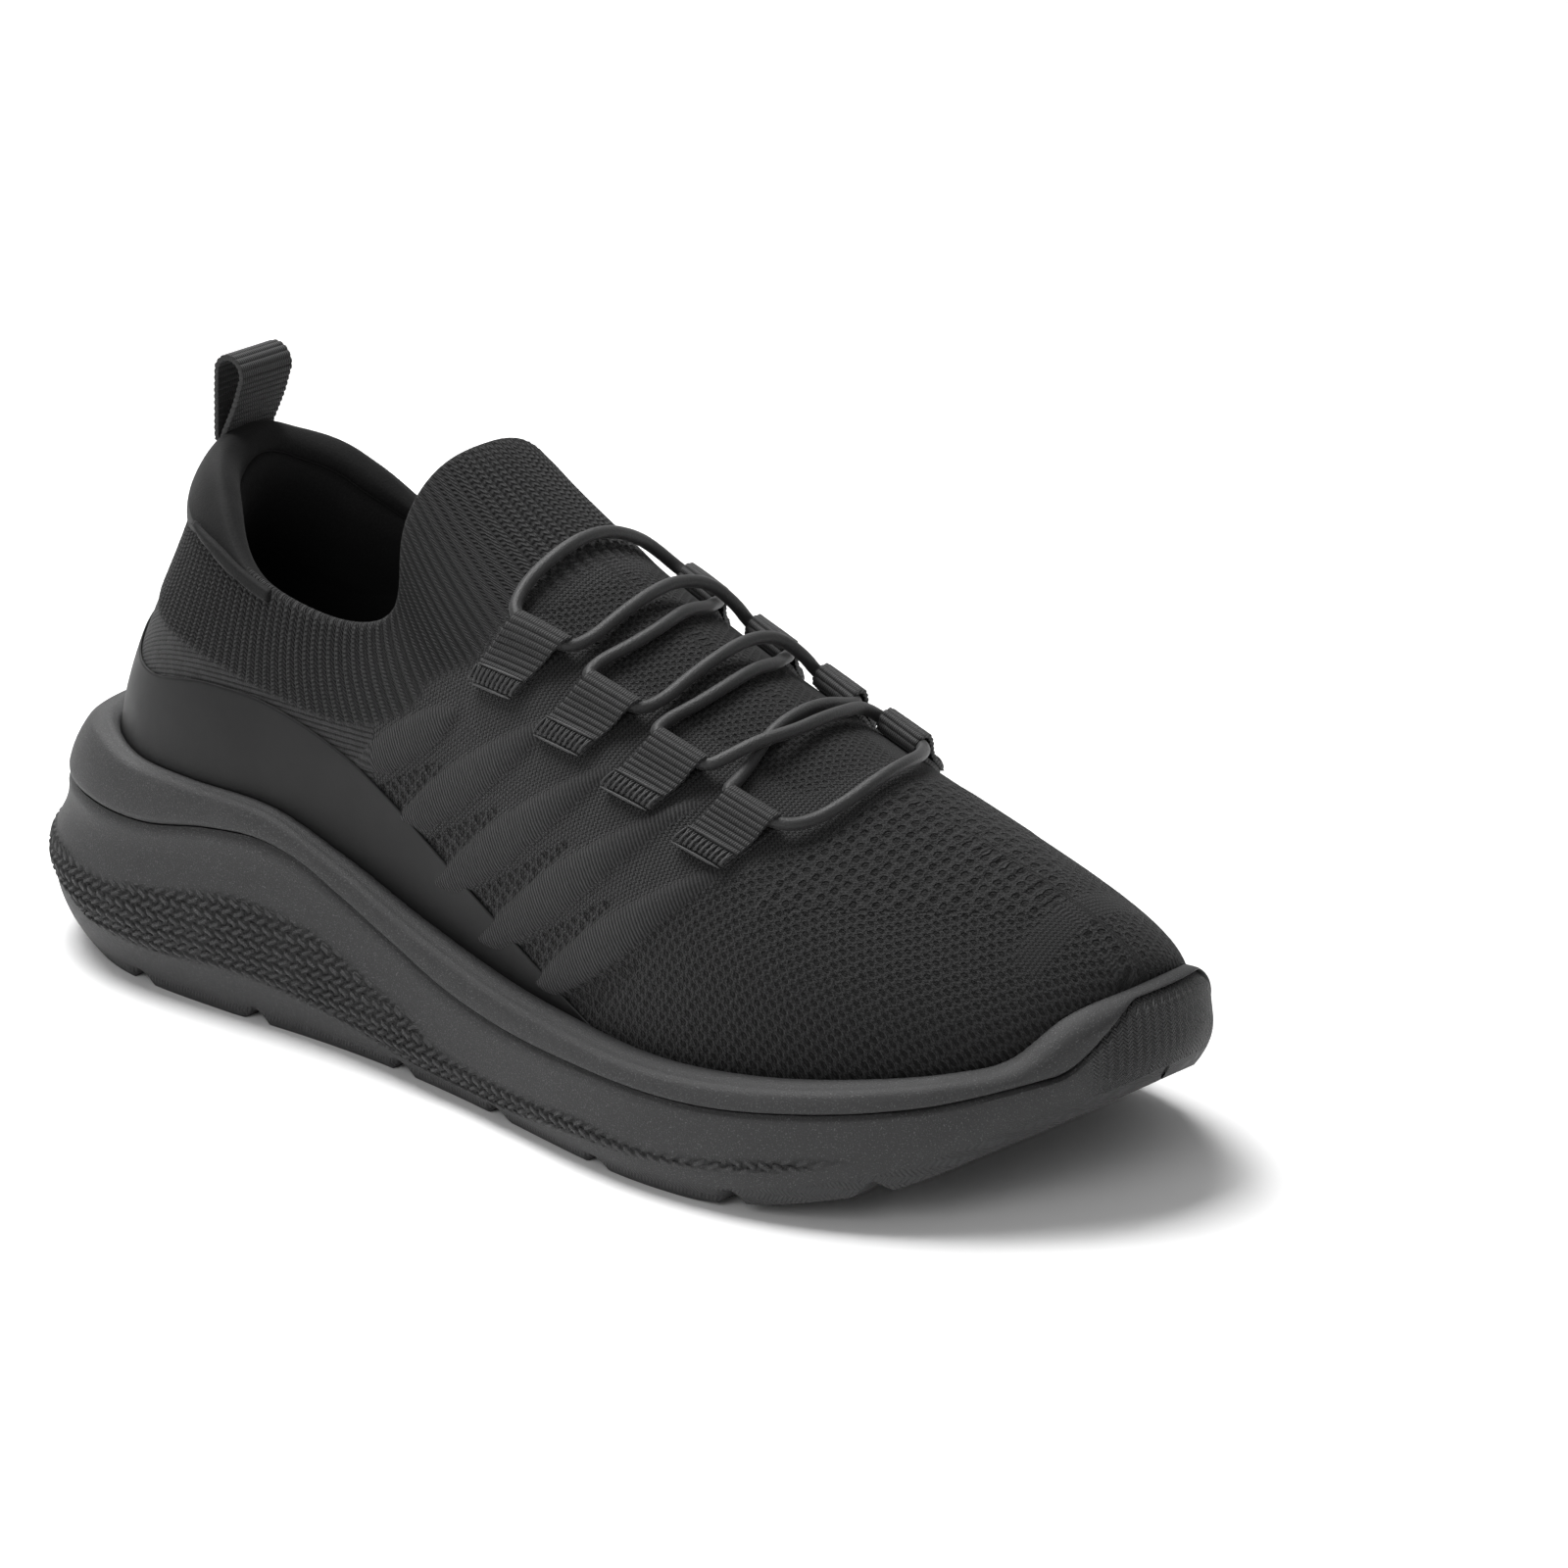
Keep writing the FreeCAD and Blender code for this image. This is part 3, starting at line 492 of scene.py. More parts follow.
FILM_TOP = [
    (0.0, 0.36), (1.4, 0.38), (2.0, 0.49), (2.5, 0.555), (3.0, 0.48), (3.5, 0.24), (4.0, 0.09), (4.4, 0.03),
]
FILM_THICK = 0.45
film_reach = FILM_TOP[-1][0]
film, across, up = grid("heel_film", 420, 44)
station = HEEL + film_reach * (1 - 2 * across)
film_top = side_line(FILM_TOP, np.minimum(np.abs(station - HEEL), 4.39))
level = -0.25 + (film_top + 0.25) * np.clip(up * 1.03, 0, 1)
edge_drop = FILM_THICK * (1 - np.sqrt(np.clip(1 - np.clip((up - 0.97) / 0.03, 0, 1) ** 2, 0, 1)))
put_points(film, over_last(station, level, 0.12 + FILM_THICK - edge_drop))
smooth(film)
apply_modifier(film, "SOLIDIFY", thickness=0.4 * MM, offset=-1)
film_finish, film_skin, satin = finish("satin_film", grey(0.009), 0.5, specular=0.22)
satin_grain = satin.noise(0.25, 2.0)
emboss(film_skin, satin, satin_grain * 0.02 + satin.noise(9) * 0.08)
lay(film_skin, satin, "Roughness", satin.noise(14) * 0.14 + 0.44)
dress(film, film_finish)
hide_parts("heel_film_overlay")
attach(film, "rearfoot")

# ------------------------------------------------------------------ padded collar
# Foam covered in smooth jersey, rolled over the top edge of the heel. A sewn line runs round it
# inside the mouth, and its front ends taper into the knitted edge.

COLLAR_FROM, COLLAR_TO = 5.6, 10.4
EDGE_RUN = 66.0     # millimetres of meridian to one whole level, near the opening
# Section of the roll, from its lower edge outside, over the top and down inside: how far in from
# the outer face, and how far above the edge of the opening.
ROLL = [
    (0.1, -17), (-1.1, -14), (-1.9, -10), (-2.0, -6), (-1.2, -1.8), (0.5, 1.0), (2.9, 2.3), (5.4, 1.7),
    (7.2, 0.2), (8.0, -2.0), (7.2, -3.1), (8.4, -4.0), (9.6, -7.0), (10.0, -12), (9.6, -17), (8.0, -23),
    (5.6, -30), (4.4, -38),
]


def open_line(values, share):
    """Smooth open curve through the values, share going from 0 to 1 along it."""
    values = np.array(values, float)
    at = np.clip(np.asarray(share, float), 0, 1) * (len(values) - 1)
    i = np.clip(np.floor(at).astype(int), 0, len(values) - 2)
    t = (at - i)[..., None]
    slope = np.gradient(values, axis=0)
    return (values[i] * (1 - t) ** 2 * (1 + 2 * t) + values[i + 1] * t * t * (3 - 2 * t)
            + slope[i] * t * (1 - t) ** 2 - slope[i + 1] * t * t * (1 - t))


collar, across, up = grid("collar_pad", 200, 96)
station = COLLAR_FROM + (COLLAR_TO - COLLAR_FROM) * (1 - across)
section = open_line(ROLL, up)
front = ease(np.minimum(station - COLLAR_FROM, COLLAR_TO - station), 0.0, 1.1)
thin = 0.02 + 0.98 * front
inward, above = section.T
skirt = 0.04 + 0.70 * (1 - ease(np.abs(station - HEEL), 0.7, 1.9))
outer_part = 1 - ease(up, 0.14, 0.27)
above = np.where(above < 0, above * (1 - outer_part + outer_part * skirt), above * thin)
inward = np.where(inward > 1.8, 1.8 + (inward - 1.8) * (0.2 + 0.8 * front), inward * thin)
away_from_heel = np.abs(station - HEEL)
lifted = 3.0 * ease(away_from_heel, 0.5, 1.3) * (1 - ease(away_from_heel, 1.5, 2.3))
above = above + lifted * ease(up, 0.18, 0.34) * (1 - ease(up, 0.5, 0.8))
level = 1 + np.minimum(above, 0) / EDGE_RUN
put_points(collar, over_last(station, level, -inward, np.maximum(above, 0)))
smooth(collar)
apply_modifier(collar, "SOLIDIFY", thickness=0.9 * MM, offset=-1)
jersey_finish, jersey_skin, jersey = finish("black_jersey", grey(0.008), 0.7, sheen=0.05, specular=0.15)
emboss(jersey_skin, jersey, jersey.noise(0.4, 2.0) * 0.09 + jersey.noise(2.2) * 0.05)
lay(jersey_skin, jersey, "Base Color", jersey.noise(0.5).mix(grey(0.004), grey(0.011)))
dress(collar, jersey_finish)
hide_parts("collar_foam")
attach(collar, "rearfoot")

# ------------------------------------------------------------------ heel lining
# The collar's jersey goes on down inside the heel to the insole, smooth over the counter, and is
# glued to it.

lining, across, up = grid("heel_lining", 150, 40)
station = 5.2 + (10.8 - 5.2) * across
level = 0.03 + 0.6 * up
put_points(lining, over_last(station, level, -(4.3 + 0.5 * np.sin(math.pi * up))))
smooth(lining)
apply_modifier(lining, "SOLIDIFY", thickness=0.7 * MM, offset=1)
dress(lining, jersey_finish)
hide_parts("collar_lining")
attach(lining, "rearfoot")

# ------------------------------------------------------------------ sole block lines
# The sole is moulded foam with a raised rim round the upper. Its wall is drawn in towards the
# ground and towards the rim, more at the heel where it flares behind the upper.

OUTLINE = [
    (-145, -1), (-137, -25), (-118, -40), (-90, -45), (-45, -44), (0, -48.5), (38, -56), (65, -58.5),
    (92, -54), (118, -40), (136, -18), (145, 11), (138, 34), (120, 48.5), (92, 56), (62, 57),
    (30, 52), (-10, 43), (-55, 39), (-95, 40), (-125, 33), (-140, 17.5),
]
RIM_LINE = [
    (-150, 48.5), (-128, 51), (-104, 49), (-84, 48.8), (-60, 48), (-40, 41.5), (-18, 33.5), (8, 27.8),
    (35, 26), (60, 25.6), (86, 27), (110, 29.5), (126, 32), (133, 34.5), (139, 42), (144, 45), (150, 46),
]
GROUND_LINE = [
    (-150, 8), (-138, 3.4), (-125, 0.8), (-110, 0), (-60, 0), (0, 0), (70, 0), (83, 1.8), (94, 4),
    (107, 7.4), (116, 10), (133, 17.2), (141, 21.5), (150, 27),
]
TURNS = len(OUTLINE)
TOE_TURN = 11
WAIST = 0.35
RUBBER = 4.0


def sole_inset(x, z):
    heel = np.clip((-70 - x) / 60, 0, 1)
    toe = np.clip((x - 115) / 25, 0, 1)
    share = np.minimum(z / side_line(RIM_LINE, x), 1.1)
    under = (4.5 + 3.5 * heel) * (1 - share / WAIST) ** 2
    over = (4.2 + 4.8 * heel - 2.2 * toe) * ((share - WAIST) / (1 - WAIST)) ** 2
    return np.where(share < WAIST, under, over)


def outline_frame(turn):
    here = closed_line(OUTLINE, turn)
    along = closed_line(OUTLINE, turn + 0.001) - closed_line(OUTLINE, turn - 0.001)
    inward = np.stack([-along[..., 1], along[..., 0]], -1)
    inward /= np.linalg.norm(inward, axis=-1, keepdims=True)
    inward *= -np.sign((inward * here).sum(-1, keepdims=True))
    return here, inward


def sole_point(turn, z, inset=0.0):
    """Place on the sole's wall at a height, moved inwards by inset."""
    here, inward = outline_frame(turn)
    x = here[..., 0]
    top = side_line(RIM_LINE, x)
    lip = 1.3 + 3.0 * ease(x, 122, 140)
    near_top = np.clip((z - top + lip) / lip, 0, 1)
    rounding = lip * (1 - np.sqrt(1 - near_top ** 2))
    near_ground = np.clip(1 - (z - side_line(GROUND_LINE, x)) / 11, 0, 1)
    rounding = rounding + 4.5 * ease(x, 112, 136) * near_ground ** 2
    plan = here + inward * (sole_inset(x, z) + inset + rounding)[..., None]
    return np.concatenate([plan, np.asarray(z)[..., None]], -1)


fine_turn = np.linspace(0, TURNS, 4401)
outline_places = closed_line(OUTLINE, fine_turn)
outline_length = np.r_[0, np.cumsum(np.linalg.norm(np.diff(outline_places, axis=0), axis=1))]
PERIMETER = outline_length[-1]


def turn_at(length):
    return np.interp(length, outline_length, fine_turn)


def groove_height(turn):
    """The parting groove under the rim: it climbs round the toe, over the bumper."""
    x = closed_line(OUTLINE, turn)[..., 0]
    low = side_line(GROOVE_LINE, x)
    high = side_line(RIM_LINE, x) - 1.2
    climb = ease(turn, 10.05, 10.75) * (1 - ease(turn, 11.75, 12.45))
    return low + (high - low) * climb


# ------------------------------------------------------------------ midsole
# Moulded foam. A convex band with short raised dashes runs round it under a smooth shoulder, and
# the toe end carries a bumper panel with fine upright lines.

BAND_TOP = [
    (-150, 27), (-122, 25.5), (-107, 24), (-87, 26.5), (-65, 29.5), (-43, 27), (-29, 22), (-14, 17),
    (-2, 12), (19, 10.5), (45, 11.5), (65, 10.5), (92, 14), (109, 17), (123, 20.5), (150, 30),
]
BAND_FOOT = [
    (-150, 19), (-123, 15.5), (-109, 11.5), (-88, 10.5), (-66, 11.5), (-44, 9.5), (-33, 8), (-22, 6),
    (-9, 4.5), (17, 4.5), (44, 7), (64, 8), (92, 11), (110, 15), (125, 19), (150, 29),
]
WALL_COLUMNS, WALL_ROWS = 1280, 76
midsole, across, up = grid("midsole", WALL_COLUMNS, WALL_ROWS)
length = (1 - across) * PERIMETER
turn = turn_at(length)
x = closed_line(OUTLINE, turn)[:, 0]
foot = side_line(GROUND_LINE, x) + RUBBER
groove = groove_height(turn)
band_top, band_foot = side_line(BAND_TOP, x), side_line(BAND_FOOT, x)
# Most of the rows of points are spent on the band, where the dashes are.
FIRST, LAST = 0.12, 0.84
low_end = np.clip(band_foot - 1, foot + 0.3, groove - 2)
high_end = np.clip(band_top + 1, low_end + 0.8, groove - 1)
z = np.where(up < FIRST, foot + (low_end - foot) * up / FIRST,
             np.where(up < LAST, low_end + (high_end - low_end) * (up - FIRST) / (LAST - FIRST),
                      high_end + (groove - high_end) * (up - LAST) / (1 - LAST)))
inside_band = ease(z, band_foot - 0.6, band_foot + 1.2) * (1 - ease(z, band_top - 1.6, band_top + 0.6))
inside_band *= 1 - ease(x, 96, 112)
belly = np.clip((z - band_foot) / np.maximum(band_top - band_foot, 1), 0, 1)
swell = 1.1 * np.sin(math.pi * belly) ** 0.8 * (1 - ease(x, 80, 110)) * ease(band_top - band_foot, 4, 10)
PITCH, LANE, TILT = 3.3, 1.9, 0.45


def dashes(along, high):
    """Short slanting bars in rows that lean alternately, like a basket weave."""
    lane = np.floor(high / LANE)
    over = ((along / PITCH + 0.5 * (lane % 2)) % 1 - 0.5) * PITCH
    off = (high / LANE % 1 - 0.5) * LANE - (2 * (lane % 2) - 1) * over * TILT
    return (1 - ease(np.abs(off), 0.36, 0.7)) * (1 - ease(np.abs(over), 1.15, 1.5))


bars = dashes(length, z)
shoulder = np.clip((z - band_top) / np.maximum(groove - band_top, 1), 0, 1)
hollow = (0.4 + 1.0 * (1 - ease(x, -95, -35))) * np.sin(math.pi * shoulder) * (1 - ease(x, 100, 125))
relief = swell + inside_band * (0.7 * bars - 0.3) - hollow
lip = ease(up, 0.97, 1.0)
bumper = ease(turn, 10.2, 10.6) * (1 - ease(turn, 11.9, 12.3))
keep_map(midsole, "wall", length, z)
keep_share(midsole, "band", inside_band)
keep_share(midsole, "bumper", bumper)
put_points(midsole, sole_point(turn, z, -relief * (1 - lip) + 1.0 * lip))
close_seams(midsole)
bpy.ops.object.mode_set(mode="EDIT")
bpy.ops.mesh.select_all(action="DESELECT")
bpy.ops.mesh.select_mode(type="EDGE")
bpy.ops.mesh.select_non_manifold()
bpy.ops.mesh.extrude_region_move()
bpy.ops.transform.resize(value=(0.9, 0.7, 1))
bpy.ops.mesh.edge_face_add()
bpy.ops.object.mode_set(mode="OBJECT")
smooth(midsole)
bpy.ops.object.shade_smooth_by_angle(angle=math.radians(40))

foam_finish, foam_skin, foam = finish("moulded_foam", grey(0.035), 0.6, specular=0.4)
wall = foam.node("ShaderNodeSeparateXYZ", {0: foam.node("ShaderNodeUVMap", uv_map="wall")})
wall_z = Shade(foam.tree, wall.socket.node.outputs[1])
lane = wall_z / LANE
odd_lane = (lane.whole() * 0.5).part()
leaning = odd_lane * 4 - 1
over = ((wall / PITCH + odd_lane).part() - 0.5) * PITCH
off = (lane.part() - 0.5) * LANE - leaning * over * TILT
bars_seen = (1 - off.away().between(0.36, 0.62)) * (1 - over.away().between(1.15, 1.45))
upright = (wall / 2.4).zigzag(0.5) * 2.2
herringbone = (wall_z + upright).wave(0.85) * share_of(foam, "bumper")
speckle = foam.noise(0.3, 2.0).between(0.58, 0.70)
cloud = foam.noise(11, 4.0)
tone = cloud.mix(grey(0.020), grey(0.032))
# The speckles are the foam's own; the gaps between the raised dashes are darkened as painted shade.
gaps = (1 - bars_seen) * share_of(foam, "band")
tone = (gaps * 0.75).mix((speckle * 0.6).mix(tone, grey(0.12)), grey(0.006))
lay(foam_skin, foam, "Base Color", tone)
lay(foam_skin, foam, "Roughness", cloud * 0.18 + 0.5)
emboss(foam_skin, foam, foam.noise(0.3, 2.0) * 0.16 + foam.noise(2.0) * 0.06 + herringbone * 0.25
       - gaps * 0.35)
dress(midsole, foam_finish)
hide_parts("midsole_rear", "midsole_forefoot")
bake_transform(midsole)

# ------------------------------------------------------------------ rim
# The raised lip of the sole round the upper, with a soft rounded top and a dark parting groove
# below it. At the toe it runs over the bumper as a narrow border.

RIM_ROWS = 34
rim, across, up = grid("sole_rim", 760, RIM_ROWS)
turn = turn_at((1 - across) * PERIMETER)
x = closed_line(OUTLINE, turn)[:, 0]
groove = groove_height(turn)
top = side_line(RIM_LINE, x)
tall = top - groove
wall = 1 - (1 - np.clip(up / 0.62, 0, 1)) ** 1.6
z = groove + 0.25 + (tall - 0.25) * wall
lip_in = 1.15 * (1 - ease(wall, 0.0, 0.10))
belly = (0.55 + 0.25 * (1 - ease(x, -100, -50))) * np.sin(math.pi * wall) ** 0.7
outer = sole_point(turn, z, lip_in - belly)


def feather_frame(station):
    """Plan place on the upper's lower edge, and the plan direction outwards from it."""
    ring = closed_line(FEATHER, station)[:, :2]
    along = closed_line(FEATHER, station + 0.001)[:, :2] - closed_line(FEATHER, station - 0.001)[:, :2]
    out = np.stack([along[:, 1], -along[:, 0]], -1)
    out /= np.linalg.norm(out, axis=1)[:, None]
    out *= np.sign((out * ring).sum(1))[:, None]
    return ring, out


# The rim's inner edge stands just clear of the upper all round.
ring, out = feather_frame(np.linspace(0, STATIONS, 1601))
cup = ring + 0.35 * out
crest = sole_point(turn, top, 0.0)[:, :2]
nearest = np.empty(len(crest), int)
for start in range(0, len(crest), 2000):
    block = crest[start:start + 2000]
    nearest[start:start + 2000] = ((block[:, None, :] - cup[None, :, :]) ** 2).sum(2).argmin(1)
inner = cup[nearest]
across_top = np.clip((up - 0.62) / 0.22, 0, 1)
down = np.clip((up - 0.84) / 0.16, 0, 1)
plan = crest + (inner - crest) * across_top[:, None]
width = np.linalg.norm(inner - crest, axis=1)
crown = np.minimum(width * 0.35, 1.6)
roof = top + crown * np.sin(math.pi * across_top) * 0.5
floor = side_line(GROOVE_LINE, x)
inner_z = roof - (roof - floor - 0.3) * down
rounded = np.where((up > 0.62)[:, None], np.concatenate([plan, inner_z[:, None]], 1), outer)
put_points(rim, rounded)
close_seams(rim)
smooth(rim)
dress(rim, foam_finish)
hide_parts("rim_rear", "rim_forefoot", "toe_bumper")
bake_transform(rim)

# ------------------------------------------------------------------ outsole
# Rubber pads under the foam, with a V groove across the tread every few centimetres and a fine
# herringbone on their edges.

NOTCHES = (-98, -63, -19, 13, 46, 83, 112)
SLICES, AROUND = 460, 84
outsole, across, up = grid("outsole", SLICES, AROUND)
half_turns = np.linspace(0, TOE_TURN, 1600), np.linspace(TURNS, TOE_TURN, 1600)
slice_share = 0.5 - 0.5 * np.cos(math.pi * across)
slice_share = 0.35 * slice_share + 0.65 * across


def wall_places(half, z_up, share):
    """Places on one side of the sole, for the share of the way from heel to toe."""
    ring = closed_line(OUTLINE, half_turns[half])
    height = side_line(GROUND_LINE, ring[:, 0]) + z_up
    places = sole_point(half_turns[half], height)
    xs = np.maximum.accumulate(places[:, 0])
    x = xs[0] + (xs[-1] - xs[0]) * share
    return np.stack([x, np.interp(x, xs, places[:, 1]), np.interp(x, xs, places[:, 2])], 1)


# Rows of points go round each slice: over the top from the middle, down a side, under, and back up.
TOP_ROWS, SIDE_ROWS = 4, 6
BOTTOM_ROWS = AROUND - 2 * SIDE_ROWS - 2 * TOP_ROWS
SIDE_END = TOP_ROWS + SIDE_ROWS
BOTTOM_END = SIDE_END + BOTTOM_ROWS
step = np.rint(up * AROUND).astype(int)
tread_places = np.empty((len(step), 3))
low = np.empty(len(step))
for k in range(AROUND + 1):
    here = step == k
    share = slice_share[here]
    if k <= TOP_ROWS:
        rise, over = RUBBER, 0.5 - 0.5 * k / TOP_ROWS
    elif k <= SIDE_END:
        rise, over = RUBBER * (1 - (k - TOP_ROWS) / SIDE_ROWS), 0.0
    elif k <= BOTTOM_END:
        rise, over = 0.0, (k - SIDE_END) / BOTTOM_ROWS
    elif k <= BOTTOM_END + SIDE_ROWS:
        rise, over = RUBBER * (k - BOTTOM_END) / SIDE_ROWS, 1.0
    else:
        rise, over = RUBBER, 1.0 - 0.5 * (k - BOTTOM_END - SIDE_ROWS) / TOP_ROWS
    lateral, medial = wall_places(0, rise, share), wall_places(1, rise, share)
    tread_places[here] = lateral + (medial - lateral) * over
    low[here] = 1 - rise / RUBBER
x, y, z = tread_places.T
notch = np.zeros(len(x))
for centre in NOTCHES:
    notch = np.maximum(notch, 3.2 * np.clip(1 - np.abs(x - centre) / 3.5, 0, 1))
z = z + notch * low
under = ((step > SIDE_END) & (step < BOTTOM_END)).astype(float)
tread = (x + 0.6 * np.abs(y)) % 9.0
z = z + under * 1.6 * ease(2.2 - np.abs(tread - 4.5), 0, 0.8) * (notch < 0.2)
put_points(outsole, np.stack([x, y, z], 1))
close_seams(outsole)
bpy.ops.object.mode_set(mode="EDIT")
bpy.ops.mesh.select_all(action="DESELECT")
bpy.ops.mesh.select_mode(type="EDGE")
bpy.ops.mesh.select_non_manifold()
bpy.ops.mesh.edge_face_add()
bpy.ops.object.mode_set(mode="OBJECT")
smooth(outsole)
bpy.ops.object.shade_smooth_by_angle(angle=math.radians(35))
rubber_finish, rubber_skin, rubber = finish("black_rubber", grey(0.034), 0.62, specular=0.4)
place = rubber.node("ShaderNodeSeparateXYZ", {0: rubber.node("ShaderNodeTexCoord", out=3)})
place_z = Shade(rubber.tree, place.socket.node.outputs[2]) / MM
place_x = place / MM
herringbone = (place_x + (place_z / 1.6).zigzag(1.0) * 1.1).wave(0.9)
emboss(rubber_skin, rubber, herringbone * 0.10 + rubber.noise(0.4) * 0.08)
lay(rubber_skin, rubber, "Base Color", rubber.noise(0.4, 2.0).mix(grey(0.024), grey(0.046)))
dress(outsole, rubber_finish)
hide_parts("outsole_heel", "outsole_shank", "outsole_ball", "outsole_toe")
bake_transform(outsole)

# ------------------------------------------------------------------ strobel board and insole
# A stitched board closes the bootie underneath, and a fabric-topped foam insole lies on it.

insole_finish, insole_skin, brushed = finish("brushed_fabric", grey(0.012), 0.85, sheen=0.08, specular=0.25)
emboss(insole_skin, brushed, brushed.noise(0.5, 3.0) * 0.2)
lay(insole_skin, brushed, "Base Color", brushed.noise(0.8).mix(grey(0.004), grey(0.010)))
felt_finish, felt_skin, felt = finish("stitched_board", grey(0.28), 0.9)
emboss(felt_skin, felt, felt.noise(0.6) * 0.2)
BOARD_ROWS, FACE_ROWS = 40, 16
for name, inset, low, high, stuff, slot in (
        ("strobel_board", 2.2, 0.0, 1.5, felt_finish, "strobel_felt"),
        ("insole", 3.9, 1.5, 5.5, insole_finish, "insole_fabric")):
    board, across, up = grid(name, 240, BOARD_ROWS)
    step = np.rint(up * BOARD_ROWS).astype(int)
    ring, out = feather_frame(HEEL + STATIONS * across)
    ring = ring - out * inset
    spine = np.stack([np.clip(ring[:, 0], -92, 100), 0.03 * (ring[:, 0] - 20)], 1)
    spread = np.clip(np.minimum(step, BOARD_ROWS - step) / FACE_ROWS, 0, 1)
    plan = spine + (ring - spine) * spread[:, None]
    rise = low + (high - low) * np.clip((step - FACE_ROWS) / (BOARD_ROWS - 2 * FACE_ROWS), 0, 1)
    z = side_line(GROOVE_LINE, plan[:, 0]) + rise
    put_points(board, np.concatenate([plan, z[:, None]], 1))
    close_seams(board)
    bpy.ops.object.mode_set(mode="EDIT")
    bpy.ops.mesh.select_all(action="SELECT")
    bpy.ops.mesh.normals_make_consistent(inside=False)
    bpy.ops.object.mode_set(mode="OBJECT")
    smooth(board)
    dress(board, stuff)
    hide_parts(name + "_rear", name + "_forefoot")
    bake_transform(board)

# ------------------------------------------------------------------ lace loops
# Eight loops of ribbed webbing. Each is folded over the elastic, lies flat on the upper, and is
# sewn down at its foot with a bar tack.

STRAP_WIDTH, STRAP_LENGTH = 12.0, 13.5
EYES = {
    "lateral": (-1, [(1.65, 0.81), (1.46, 0.727), (1.345, 0.645), (1.265, 0.554)]),
    "medial": (1, [(14.36, 0.80), (14.67, 0.73), (14.89, 0.66), (15.05, 0.59)]),
}


def walk(station, level, heading, distance):
    """The place reached by going straight over the upper for a distance, in a plan direction."""
    given = [np.asarray(value, float) for value in (station, level, distance)]
    station, level, distance = np.broadcast_arrays(*given)
    station, level = station.copy(), level.copy()
    steps = max(1, int(np.abs(distance).max() / 1.5))
    for _ in range(steps):
        along = (last_point(station + 0.01, level) - last_point(station - 0.01, level)) / 0.02
        over = (last_point(station, level + 0.01) - last_point(station, level - 0.01)) / 0.02
        normal = np.cross(along, over)
        normal /= np.linalg.norm(normal, axis=-1, keepdims=True)
        way = heading - normal * (normal @ heading)[..., None]
        way *= (distance / steps)[..., None] / np.linalg.norm(way, axis=-1, keepdims=True)
        a, b, c = (along * along).sum(-1), (along * over).sum(-1), (over * over).sum(-1)
        wa, wb = (way * along).sum(-1), (way * over).sum(-1)
        station += (wa * c - wb * b) / (a * c - b * b)
        level += (wb * a - wa * b) / (a * c - b * b)
    return station, level


FORWARD, MEDIAL = np.array([1.0, 0.0, 0.0]), np.array([0.0, 1.0, 0.0])
webbing_finish, webbing_skin, tape = finish("black_webbing", grey(0.016), 0.6, sheen=0.08, specular=0.35)
tape_map = tape.node("ShaderNodeSeparateXYZ", {0: tape.node("ShaderNodeUVMap", uv_map="tape")})
tape_y = Shade(tape.tree, tape_map.socket.node.outputs[1])
threads = (tape_map.wave(0.55) * 0.5 + 0.5) * (tape_y.wave(1.4) * 0.35 + 0.65)
emboss(webbing_skin, tape, threads * 0.12 + tape.noise(0.3) * 0.05)
# Painted highlight and shade: the tape is lighter on its raised ribs and threads, darker between them.
lay(webbing_skin, tape, "Base Color", threads.mix(grey(0.006), grey(0.034)))

# The strap's middle line seen along the eye: distance out from the eye, and height over the knit.
fold = [(STRAP_LENGTH - 0.3, 0.62), (9.5, 0.62), (6, 0.62), (2.5, 0.62), (0.4, 0.75)]
for degrees in range(-80, 110, 18):
    fold.append((-2.3 * math.cos(math.radians(degrees)), 3.05 + 2.3 * math.sin(math.radians(degrees))))
fold += [(2.6, 4.35), (5.0, 2.7), (7.4, 1.95), (10, 1.8), (STRAP_LENGTH, 1.75)]
fold = np.array(fold, float)
dense = open_line(fold, np.linspace(0, 1, 800))
dense_run = np.r_[0, np.cumsum(np.linalg.norm(np.diff(dense, axis=0), axis=1))]
STRAP_ROWS = int(dense_run[-1] / 0.23)
tacks = []
for side_name, (outward, eyes) in EYES.items():
    for number, (eye_station, eye_level) in enumerate(eyes, start=1):
        name = "lace_loop_%s_%d" % (side_name, number)
        strap, across, up = grid(name + "_webbing", 12, STRAP_ROWS)
        run = up * dense_run[-1]
        out = np.interp(run, dense_run, dense[:, 0])
        high = np.interp(run, dense_run, dense[:, 1])
        bend = np.stack([np.gradient(dense[:, 1]), -np.gradient(dense[:, 0])], -1)
        bend /= np.linalg.norm(bend, axis=1)[:, None]
        side_out = np.interp(run, dense_run, bend[:, 0])
        side_high = np.interp(run, dense_run, bend[:, 1])
        rib = 0.20 * np.cos(2 * math.pi * run / 1.4)
        out = out - side_out * rib
        high = high - side_high * rib
        aside = (across - 0.5) * STRAP_WIDTH * outward
        start = walk(eye_station, eye_level, FORWARD, aside)
        put_points(strap, over_last(*walk(*start, MEDIAL * outward, out), high))
        keep_map(strap, "tape", aside, run)
        apply_modifier(strap, "SOLIDIFY", thickness=0.8 * MM, offset=0)
        apply_modifier(strap, "BEVEL", width=0.18 * MM, segments=2, limit_method="ANGLE",
                       angle_limit=math.radians(60))
        smooth(strap)
        dress(strap, webbing_finish)
        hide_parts(name)
        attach(strap, "rearfoot")
        tacks.append((outward, eye_station, eye_level))

# ------------------------------------------------------------------ bar tacks
# Polyester thread, sewn through the webbing and the knit: a close zigzag across the foot of every
# loop, between two long border stitches.

